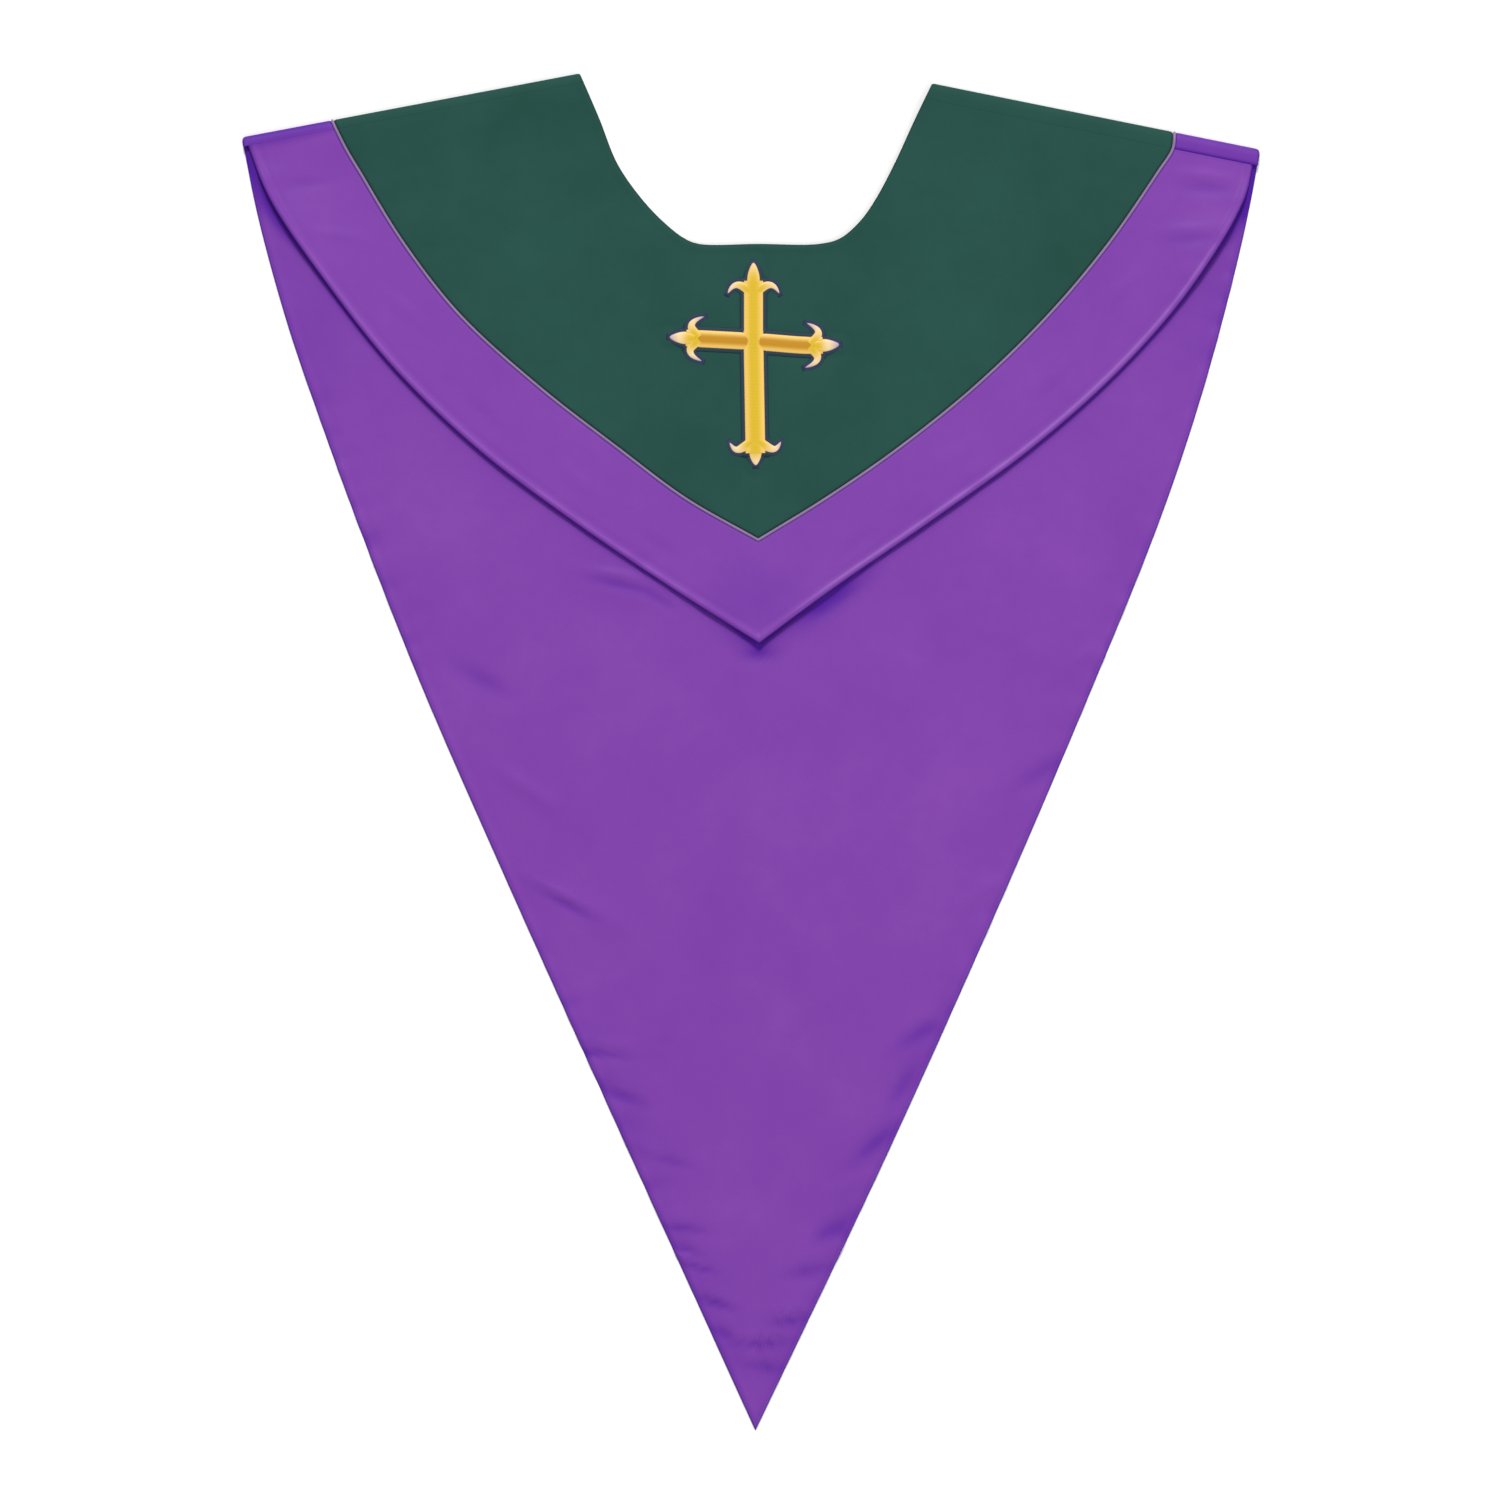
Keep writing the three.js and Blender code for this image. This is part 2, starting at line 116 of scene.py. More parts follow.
def fill(node, inputs):
    """Fills a node's inputs with values, or links them to other nodes' outputs."""
    for name, value in inputs.items():
        if isinstance(value, bpy.types.NodeSocket):
            node.id_data.links.new(value, node.inputs[name])
        else:
            node.inputs[name].default_value = value


def add_node(tree, kind, settings=None, inputs=None):
    """Adds a shader node, sets its properties and fills its inputs."""
    node = tree.nodes.new("ShaderNode" + kind)
    for name, value in (settings or {}).items():
        setattr(node, name, value)
    fill(node, inputs or {})
    return node


# a Mix node set to colours, and its sockets: the share, the two colours and the result
COLOURS = {"data_type": "RGBA"}
MIX_SHARE, MIX_FIRST, MIX_SECOND, MIX_COLOUR = 0, 6, 7, 2


def new_material(name):
    """A plain material, the function that adds nodes to it, and its shader."""
    material = bpy.data.materials.new(name)
    material.use_nodes = True
    tree = material.node_tree
    return material, partial(add_node, tree), tree.nodes["Principled BSDF"]


def band_scale(period):
    """Scale of a Wave Texture whose bands are a period apart, in metres: 2 pi / (20 period)."""
    return 2 * math.pi / (20 * period)


# %% [markdown]
# ## The lines of the cut
# Four lines shape the panels: the neckline, the seam with the piping, the free edge of the short
# panel and the edge of the long one. Each is drawn as two halves, from the shoulder fold to the
# middle, as smooth curves through a few measured points. They are the same tables as in the CAD
# source, in millimetres, so the cloth lies exactly on its solids.

# %% Tables of the cut
SHOULDERS = {
    "left": {"sign": -1, "neck": (-96.0, 380.4), "slope": 10.7, "turnover": 5.5},
    "right": {"sign": 1, "neck": (101.6, 374.8), "slope": 11.4, "turnover": 9.4},
}
# start: distance of the line from the neck corner along the fold, left and right
# rows: height, then how far the line lies from the middle, left and right
CUT_LINES = {
    "neckline": {
        "start": (0.0, 0.0),
        "rows": [(355, 85, 92), (330, 75, 80.5), (311, 62, 70.5), (298, 50, 61.5),
                 (288, 37.5, 50), (284.8, 29, 38)],
        "foot": (4.0, 284.8),
    },
    "yoke_seam": {
        "start": (141.5, 138.4),
        "rows": [(338, 227, 236.3), (325, 219.3, 228.1), (285, 194.7, 200.5),
                 (245, 163.4, 166.9), (205, 119.4, 125.9), (170, 74.3, 82.4),
                 (142, 36.7, 41.8)],
        "foot": (4.0, 118.8),
    },
    "free_edge": {
        "start": (191.0, 184.8),
        "rows": [(310, 269.6, 276.3), (260, 236, 246.6), (215, 200.3, 208), (170, 153.9, 157.5),
                 (130, 101.2, 102.2), (90, 42.1, 44.1)],
        "foot": (4.5, 60.8),
    },
    "long_edge": {
        "start": (193.0, 187.7),
        "rows": [(300, 276.5, 278.5), (240, 260, 264), (180, 239.5, 246.5),
                 (120, 217.5, 225.5), (40, 186, 193), (-60, 142.5, 150.5), (-220, 70.5, 79)],
        "foot": (2.5, -380.6),
    },
}
WALL = 1.5
GAP = 0.3
STACK = 2 * WALL + GAP
FOLD_RADIUS = 2.35
FOLD_EASE = 30.0
ROLL_REACH = 5.2
SHOULDER_GAP = 0.01
PIPING_HALF = 0.85
PURPLE_END = {"left": 0.02, "right": 1.1}
GREEN_END = {"left": 0.02, "right": 0.02}
YOKE_TO_CORD = PIPING_HALF + 0.1
NECK_SET_BACK = 6.0
SET_BACK_EASE = 0.2
BAND_TO_CORD = PIPING_HALF - 0.25

# %% [markdown]
# A Catmull-Rom curve passes through its points and needs no handles, so it suits edges that were
# measured point by point. The centripetal kind, with knots spaced by the square root of the
# chords, never loops between close points.

# %% Curves of the cut
SPAN_STEPS = 240


def smooth_line(points):
    """Centripetal Catmull-Rom curve. Over each span it is b + L t + (3(c - b) - 2L - A) t^2 +
    (2(b - c) + L + A) t^3, where L and A are the tangents that its neighbours give."""
    p = np.asarray(points, float)
    p = np.vstack([2 * p[0] - p[1], p, 2 * p[-1] - p[-2]])
    knot = np.sqrt(np.linalg.norm(np.diff(p, axis=0), axis=1))[:, None]
    before, here, after = knot[:-2], knot[1:-1], knot[2:]
    a, b, c, d = p[:-3], p[1:-2], p[2:-1], p[3:]
    leave = ((b - a) / before - (c - a) / (before + here) + (c - b) / here) * here
    arrive = ((c - b) / here - (d - b) / (here + after) + (d - c) / after) * here
    t = np.linspace(0, 1, SPAN_STEPS, endpoint=False)[:, None, None]
    cubic = (b + leave * t + (3 * (c - b) - 2 * leave - arrive) * t ** 2
             + (2 * (b - c) + leave + arrive) * t ** 3)
    return np.vstack([cubic.transpose(1, 0, 2).reshape(-1, 2), p[-2]])


def shoulder_axes(side):
    """Unit vectors along a shoulder from the neck, and square to it into the garment."""
    sign = SHOULDERS[side]["sign"]
    slope = math.radians(SHOULDERS[side]["slope"])
    along = np.array([sign * math.cos(slope), -math.sin(slope)])
    inward = np.array([-sign * math.sin(slope), -math.cos(slope)])
    return along, inward


def inset_from(side, x, y):
    """How far a point lies inside a shoulder's fold: its offset from the neck corner, inwards."""
    _, inward = shoulder_axes(side)
    neck = SHOULDERS[side]["neck"]
    return (x - neck[0]) * inward[0] + (y - neck[1]) * inward[1]


def half_line(name, side):
    """Dense points of one half of a cut line, with their share of its length and their inset."""
    cut = CUT_LINES[name]
    column = 1 if side == "left" else 2
    sign = SHOULDERS[side]["sign"]
    along, _ = shoulder_axes(side)
    first = np.array(SHOULDERS[side]["neck"]) + along * cut["start"][column - 1]
    rows = [(sign * row[column], row[0]) for row in cut["rows"]]
    points = smooth_line([tuple(first), *rows, cut["foot"]])
    length = np.concatenate([[0], np.cumsum(np.linalg.norm(np.diff(points, axis=0), axis=1))])
    return {
        "points": points,
        "share": length / length[-1],
        "length": length[-1],
        "inset": inset_from(side, points[:, 0], points[:, 1]),
        "tangent": np.gradient(points, axis=0),
    }


HALVES = {(name, side): half_line(name, side) for name in CUT_LINES for side in SHOULDERS}
for key, half in HALVES.items():
    print("half line", key, round(half["length"], 1), "mm")


def on_line(name, side, inset, share):
    """Points and unit directions on a half line, at a share of its way past each inset."""
    half = HALVES[name, side]
    near = half["share"] < 0.4
    start = np.interp(inset, half["inset"][near], half["share"][near])
    place = start + (1 - start) * share
    point = np.stack([np.interp(place, half["share"], half["points"][:, i]) for i in (0, 1)], -1)
    way = np.stack([np.interp(place, half["share"], half["tangent"][:, i]) for i in (0, 1)], -1)
    return point, way / np.linalg.norm(way, axis=-1, keepdims=True)


# %% [markdown]
# ## Heights of the layers
# The back panel lies on the surface and the front one on it. Satin that has been folded in a
# drawer keeps a few shallow creases, each drawn as a bell along and across its own line. The long
# panel's edges pucker where the backing is a little shorter than the satin, and both panels
# swell a little between their edges. A cloth simulation would put creases where it liked, and
# the photo's are few and known, so they are listed.

# %% Tables of the creases
# x, y, turn in degrees, reach along, spread across, rise: the main ones, as in the solids
BACK_CREASES = [
    (-96, -85, -29, 32, 8, 0.9), (-72, 92, -12, 26, 8, 0.8), (-46, -262, -20, 16, 8, 0.8),
    (40, -278, 24, 18, 9, 0.7), (88, -170, 30, 18, 9, 0.6),
]
FRONT_CREASES = [
    (256, 314, -6, 16, 6, 0.7),
    (246, 286, 4, 16, 7, 0.6),
]
# the finer ones, which only the dressed cloth has
BACK_PUCKERS = [
    (-82, -164, -4, 15, 2.4, 0.35), (-83, -169.5, -4, 15, 2.4, -0.35),
    (-73, -193, -18, 12, 3.5, -0.5), (-60, -222, -26, 11, 4.0, 0.4),
    (-47, -229, -12, 11, 2.6, -0.35), (-38, -267, -8, 13, 2.3, -0.4),
    (-41, -278, -14, 10, 2.8, -0.45), (-37, -284, -20, 8, 2.0, 0.8), (-29, -289, -15, 8, 2.0, -0.5),
    (-24, -303, -16, 9, 2.6, 0.4), (-20, -309, -18, 10, 2.6, -0.5), (-16, -326, -22, 8, 3.0, -0.4),
    (95, -158, 32, 15, 4.5, -0.45), (85, -187, 58, 14, 5.0, -0.4), (69, -220, 40, 14, 4.0, -0.5),
    (57, -243, 22, 12, 4.0, 0.4), (46, -268, 30, 12, 4.4, -0.55), (31, -291, 8, 11, 3.0, -0.45),
    (21, -314, 6, 12, 2.4, 0.35), (21, -319, 6, 12, 2.4, -0.45), (6, -327, 2, 14, 2.4, 0.35),
    (6, -332, 2, 14, 2.2, -0.5), (7, -345, -6, 11, 2.6, -0.45), (-126, -20, -34, 18, 5.0, 0.4),
    (-150, 40, -30, 16, 5.0, -0.3), (132, -78, 36, 18, 5.0, 0.4), (165, -10, 30, 18, 5.0, -0.3),
    (186, 52, 34, 16, 5.0, 0.35), (-76, 99.5, -10, 15, 2.2, 0.42), (-73, 93.5, -12, 17, 2.8, -0.42),
    (-52, 86, -28, 10, 2.4, -0.3), (-108, -79, -26, 17, 2.2, 0.42),
    (-104, -85, -28, 15, 2.8, -0.42), (46, 85, 34, 20, 5.0, -0.55), (5, 55, 0, 9, 3.6, -0.5),
]
# slow waves down the middle, too broad to take painted shade
BACK_WAVES = [
    (10, -40, 74, 60, 16.0, 0.8), (-30, -150, 82, 55, 14.0, -0.7), (36, -130, 104, 50, 14.0, 0.7),
]
FRONT_PUCKERS = [
    (254, 323, -7, 14, 3.0, 0.7), (256, 315, -6, 15, 4.4, -1.15), (245, 293, 3, 13, 3.2, 0.45),
    (246, 286.5, 4, 14, 4.6, -0.85), (-248, 318, 8, 12, 3.2, -0.35),
    (-232, 290, -10, 13, 3.5, 0.35), (-196, 250, -38, 13, 4.0, 0.3),
    (-150, 190, -44, 14, 4.0, -0.3), (-96, 152, -40, 14, 4.5, 0.3), (-52, 116, -35, 13, 4.0, -0.3),
    (210, 262, 40, 14, 4.0, 0.3), (170, 206, 44, 14, 4.0, -0.3), (112, 164, 38, 14, 4.5, 0.3),
    (60, 118, 36, 13, 4.0, -0.3), (4, 96, 88, 16, 5.0, 0.3),
]
# place along the free edge from shoulder to point, spread, rise
EDGE_LIFTS = {
    "left": [(0.12, 0.12, 3.8), (0.4, 0.2, 1.1), (0.65, 0.25, 1.3), (1.0, 0.12, 2.2)],
    "right": [(0.11, 0.12, 3.8), (0.4, 0.2, 0.8), (0.70, 0.20, 1.5), (1.0, 0.12, 2.4)],
}


# %% Height functions
def creased(table, x, y):
    """Sum over the rows of rise exp(-(u / reach)^2 - (v / spread)^2), u along and v across."""
    row = np.array(table, float).T[:, :, None, None]
    turn = np.radians(row[2])
    dx, dy = x - row[0], y - row[1]
    along = (dx * np.cos(turn) + dy * np.sin(turn)) / row[3]
    across = (dy * np.cos(turn) - dx * np.sin(turn)) / row[4]
    return (row[5] * np.exp(-along ** 2 - across ** 2)).sum(axis=0)


def hump(distance, middle, width):
    """exp(-((d - m) / w)^2): 1 at the middle, and gone two widths away."""
    return np.exp(-((distance - middle) / width) ** 2)


def smooth_step(value, low, high):
    """3t^2 - 2t^3 of the way from low to high, held at 0 and 1 outside."""
    t = np.clip((value - low) / (high - low), 0, 1)
    return t * t * (3 - 2 * t)


def nearest_inset(x, y):
    """Inset from the shoulder of the half that a point is in."""
    return np.where(x < 0, inset_from("left", x, y), inset_from("right", x, y))


def roll_rise(x, y):
    """How much the front layer stands up at the shoulder roll: 2R - stack, eased to nothing."""
    past = nearest_inset(x, y) - ROLL_REACH
    return (2 * FOLD_RADIUS - STACK) * (1 - smooth_step(past, 0, FOLD_EASE))


def back_top(x, y):
    """Upper face of the back panel's solid: wall plus main creases."""
    return WALL + creased(BACK_CREASES, x, y)


def swell(x, y):
    """Broad unevenness of laid satin: three slow waves that cross, 0.25 mm high at most."""
    return 0.25 * (np.sin(x / 37 + 0.6) * np.cos(y / 51 - 0.4)
                   + 0.6 * np.sin(x / 23 - y / 29 + 1.9)
                   + 0.4 * np.cos(x / 17 + y / 43)) / 2


def yoke_swell(x, y):
    """The firmer yoke's own unevenness: the same waves, shifted, closer and lower."""
    return swell(x * 1.3 + 40, y) * 0.7


# %% [markdown]
# ## A panel as one closed shell
# A bagged-out panel is two layers of cloth turned right side out, so it has no raw edge: its faces
# meet in a soft round rim. Each panel is a grid of stations along it and rows across it, carried
# on a middle surface. The wall's half thickness falls to nothing at the rim as a quarter ellipse,
# so the two faces share their outer points and the shell is closed.

# %% Stations of a panel
RIM_STEPS = np.array([0, 0.12, 0.4, 0.85, 1.4, 2.1, 3.0, 4.2])
END_STEPS = np.array([0, 0.02, 0.05, 0.4, 0.85, 1.4, 2.1, 3.0, 4.2])
RIM_ROUND = 1.7
FOLD_STEPS = 14
COARSE_STEP = 6


def rim_round(distance, reach):
    """Share of the full wall at a distance from the rim: sqrt(1 - (1 - d / r)^2)."""
    return np.sqrt(1 - (1 - np.clip(distance / reach, 0, 1)) ** 2)


def front_stations(side, count):
    """Stations of the front panel's half: inset, share, angle of its outer face and distance
    from its end."""
    start = SHOULDERS[side]["turnover"] + SHOULDER_GAP
    inset = np.concatenate([start + END_STEPS[:-1], np.full(count, start + END_STEPS[-1])])
    share = np.concatenate([np.zeros(len(END_STEPS) - 1), np.linspace(0, 1, count)])
    flat = np.full(len(inset), math.pi / 2)
    end = np.where(share > 0, END_STEPS[-1], inset - start)
    return np.stack([inset, share, flat, end])


def back_stations(side, count):
    """Stations of the back panel's half: in from its seam on top, round the roll, and on below.
    The angle turns from up to down as the cloth goes round."""
    turnover = SHOULDERS[side]["turnover"]
    strip = turnover - END_STEPS[END_STEPS < turnover - ROLL_REACH - 0.01]
    angle = np.linspace(math.pi / 2, -math.pi / 2, FOLD_STEPS + 1)[:-1]
    reach = ROLL_REACH - WALL / 2
    inset = np.concatenate([strip, ROLL_REACH - reach * np.cos(angle),
                            np.full(count, ROLL_REACH)])
    share = np.concatenate([np.zeros(len(strip) + FOLD_STEPS), np.linspace(0, 1, count)])
    turn = np.concatenate([np.full(len(strip), math.pi / 2), angle,
                           np.full(count, -math.pi / 2)])
    end = np.where(turn > 0, turnover - inset, END_STEPS[-1])
    return np.stack([inset, share, turn, end])


def station_table(stations, side, count):
    """Stations of one half, in order from the left shoulder to the right one."""
    table = stations(side, count)
    return table[:, -2::-1] if side == "right" else table


def way_out(angle, inward):
    """Direction out of a panel's outer face: cos(angle) outwards and sin(angle) up."""
    return np.concatenate([-np.cos(angle)[..., None] * inward, np.sin(angle)[..., None]], -1)


# %% [markdown]
# Satin looks deeper where it turns away from the light, and a light would show that from one side
# alone, so the shade is painted: every point keeps an amount of painted shade, and of painted
# highlight below zero, which the satin's material reads as an attribute.

# %% Painted shade where the cloth bends away
# amounts of painted shade at the shoulder roll: deepest, the left wedge, the right strip and its
# seam line
DEEPEST = 1.5
WEDGE = {"narrow": 1.5, "more": 6.5, "from": 160, "over": 100}
STRIP_DEPTH, SEAM_DEPTH, SEAM_WIDTH = 0.95, 1.1, 1.2


def roll_painted_shade(grid):
    """Painted shade where the cloth turns away at the shoulder roll, 0 past it. On the left it is
    a soft wedge that widens outwards, on the right an even strip that ends in a deeper line of
    painted shade along the seam."""
    x = grid["x"]
    past = nearest_inset(x, grid["y"])
    turnover = SHOULDERS["right"]["turnover"]
    wedge = WEDGE["narrow"] + WEDGE["more"] * np.clip((-x - WEDGE["from"]) / WEDGE["over"], 0, 1)
    soft = 1 - smooth_step(past, 0.3 * wedge, 1.4 * wedge)
    strip, seam = STRIP_DEPTH * (past < turnover), SEAM_DEPTH * hump(past, turnover, SEAM_WIDTH)
    return np.where(x < 0, DEEPEST * soft, np.clip(strip + seam, 0, DEEPEST))


def bell(x, y, place, reach):
    """exp(-((x - a) / u)^2 - ((y - b) / v)^2), a soft spot at (a, b) that reaches (u, v)."""
    return np.exp(-((x - place[0]) / reach[0]) ** 2 - ((y - place[1]) / reach[1]) ** 2)


# %% [markdown]
# A panel could be an outline filled with triangles, but its rim would then be hard to round. A
# grid with rows at fixed distances from both lines tells every point how far the rim is.

# %% Plan grid of a panel
def panel_grid(inner, outer, gaps, stations, count, rows, end_round, set_back=0.0, corner=0.0):
    """Plan grid of a panel: straight sections between its two lines, stations x rows. Near each
    line the rows keep fixed distances square to it, and they are even in between. Its ends at
    the shoulder seams are rounded over end_round, left and right. Below the shoulders it can be
    set back from its inner line, and the roll's outer corner can be rounded."""
    grids = []
    for side in SHOULDERS:
        table = station_table(stations, side, count)
        a, way_a = on_line(inner, side, table[0], table[1])
        b, way_b = on_line(outer, side, table[0], table[1])
        across = b - a
        length = np.linalg.norm(across, axis=1, keepdims=True)
        across /= length
        sine_a = np.abs(across[:, :1] * way_a[:, 1:] - across[:, 1:] * way_a[:, :1])
        sine_b = np.abs(across[:, :1] * way_b[:, 1:] - across[:, 1:] * way_b[:, :1])
        inner_gap = gaps[0] + set_back * smooth_step(table[1][:, None], 0, SET_BACK_EASE)
        low = (inner_gap + RIM_STEPS) / sine_a
        high = length - (gaps[1] + RIM_STEPS[::-1]) / sine_b
        even = np.linspace(0, 1, rows + 2)[1:-1]
        between = low[:, -1:] + (high[:, :1] - low[:, -1:]) * even
        reach = np.concatenate([low, between, high], axis=1)
        plan = a[:, None] + across[:, None] * reach[:, :, None]
        _, inward = shoulder_axes(side)
        outer_distance = (length - reach) * sine_b - gaps[1]
        if corner:
            drawn_in = corner * (1 - rim_round(outer_distance, corner))
            plan += (drawn_in * np.cos(table[2][:, None]) ** 2)[..., None] * inward
        share, angle, end_distance = np.repeat(table[1:, :, None], reach.shape[1], 2)
        grids.append({
            "plan": plan,
            "inner_distance": reach * sine_a - inner_gap,
            "outer_distance": outer_distance,
            "way": reach / length,
            "share": share,
            "angle": angle,
            "end_distance": end_distance,
            "inward": np.broadcast_to(inward, plan.shape),
            "lift_row": np.full(reach.shape, 0 if side == "left" else 1),
            "end_round": np.full(reach.shape, end_round[side]),
        })
    grid = {key: np.concatenate([g[key] for g in grids]) for key in grids[0]}
    grid["x"], grid["y"] = grid["plan"][..., 0], grid["plan"][..., 1]
    grid["rim"] = np.minimum(grid["inner_distance"], grid["outer_distance"])
    grid["bend"] = roll_painted_shade(grid)
    grid["round"] = (rim_round(grid["rim"], RIM_ROUND)
                     * rim_round(grid["end_distance"], grid["end_round"]))
    return grid


# %% [markdown]
# A Solidify modifier would leave square edges. So both faces are worked out from the middle
# surface and share their rim, and the hidden one is left coarse, which saves triangles.

# %% Closed mesh of a panel
def faces_out(corners, sample, faces):
    """The faces, turned over if sample triangles (or quads) of them enclose less than nothing."""
    p, q, r = (corners[sample[:, i]] for i in range(3))
    inside_out = np.einsum("ij,ij->i", p, np.cross(q, r)).sum() < 0
    return [row[::-1] for row in faces] if inside_out else faces


def smooth_mesh(name, corners, faces, fields):
    """Smooth-shaded mesh of points in millimetres, with fields of one value a point."""
    mesh = bpy.data.meshes.new(name)
    mesh.from_pydata((corners * MM).tolist(), [], faces)
    mesh.polygons.foreach_set("use_smooth", np.ones(len(faces), bool))
    for label, values in fields.items():
        mesh.attributes.new(label, "FLOAT", "POINT").data.foreach_set("value", values)
    return mesh


def shell_mesh(name, grid, middle, half, fine_is_outer):
    """Closed mesh of a panel. Its outer face is the middle surface plus the half wall along the
    way out, its inner face is minus. The face that shows keeps every row, the other one in six,
    and both share the rim's points."""
    centre = np.concatenate([grid["plan"], middle[..., None]], axis=-1)
    wall = (half * grid["round"])[..., None] * way_out(grid["angle"], grid["inward"])
    if not fine_is_outer:
        wall = -wall
    fine, coarse = centre + wall, centre - wall
    stations, rows = middle.shape
    kept = np.unique(np.concatenate([
        np.arange(len(RIM_STEPS)),
        np.arange(len(RIM_STEPS), rows - len(RIM_STEPS), COARSE_STEP),
        np.arange(rows - len(RIM_STEPS), rows),
    ]))
    top = np.arange(stations * rows).reshape(stations, rows)
    inside = coarse[1:-1, kept[1:-1]]
    under = top[:, kept].copy()
    under[1:-1, 1:-1] = top.size + np.arange(inside[..., 0].size).reshape(inside.shape[:2])
    corners = np.concatenate([fine.reshape(-1, 3), inside.reshape(-1, 3)])
    face = np.stack([top[:-1, :-1], top[1:, :-1], top[1:, 1:], top[:-1, 1:]], -1).reshape(-1, 4)
    back = np.stack([under[1:-2, :-1], under[1:-2, 1:], under[2:-1, 1:], under[2:-1, :-1]],
                    -1).reshape(-1, 4)
    ends = []
    for low, high in zip(kept[:-1], kept[1:]):
        i = int(np.searchsorted(kept, low))
        ends.append([*top[0, low:high + 1].tolist(), int(under[1, i + 1]), int(under[1, i])])
        ends.append([*top[-1, low:high + 1].tolist()[::-1], int(under[-2, i]),
                     int(under[-2, i + 1])])
    ends = [list(dict.fromkeys(face_row)) for face_row in ends]
    faces = [*face.tolist(), *back.tolist(), *ends]
    tri = np.concatenate([face[:, [0, 1, 2]], face[:, [0, 2, 3]],
                          back[:, [0, 1, 2]], back[:, [0, 2, 3]]])
    fields = {label: np.concatenate([grid[key].reshape(-1),
                                     grid[key][1:-1, kept[1:-1]].reshape(-1)])
              for label, key in (("edge_mm", "rim"), ("bend", "bend"))}
    mesh = smooth_mesh(name, corners, faces_out(corners, tri, faces), fields)
    mesh.validate()
    mesh.update()
    return mesh


# %% [markdown]
# The cloth lies flat, so the plan area of its grid is the area that it was cut to. Each finished
# piece rides on the one body and hides the plain solid that it stands for.


def put(mesh, material, slot, *nodes):
    """Links a finished piece, rides it on the row's one body and hides the solids it stands for."""
    piece = bpy.data.objects.new(mesh.name, mesh)
    bpy.context.scene.collection.objects.link(piece)
    mesh.materials.append(material)
    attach(piece, "root")
    if nodes:
        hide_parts(*nodes)
    print(piece.name, len(mesh.vertices), "points", len(mesh.polygons), "faces")
    return piece


# %% [markdown]
# ## Purple satin
# Polyester satin floats its warp over several wefts, so the face is smooth with a soft sheen and
# only a faint slanted grain. Real threads are 0.2 mm apart, too fine to show, so the grain is
# drawn 0.9 mm apart. Slow cloudy changes of shade come from how the nap was handled.


# %% Satin material
# width of the painted shade along each panel's rim
PAINTED_RIM_SHADE_MM = 1.3


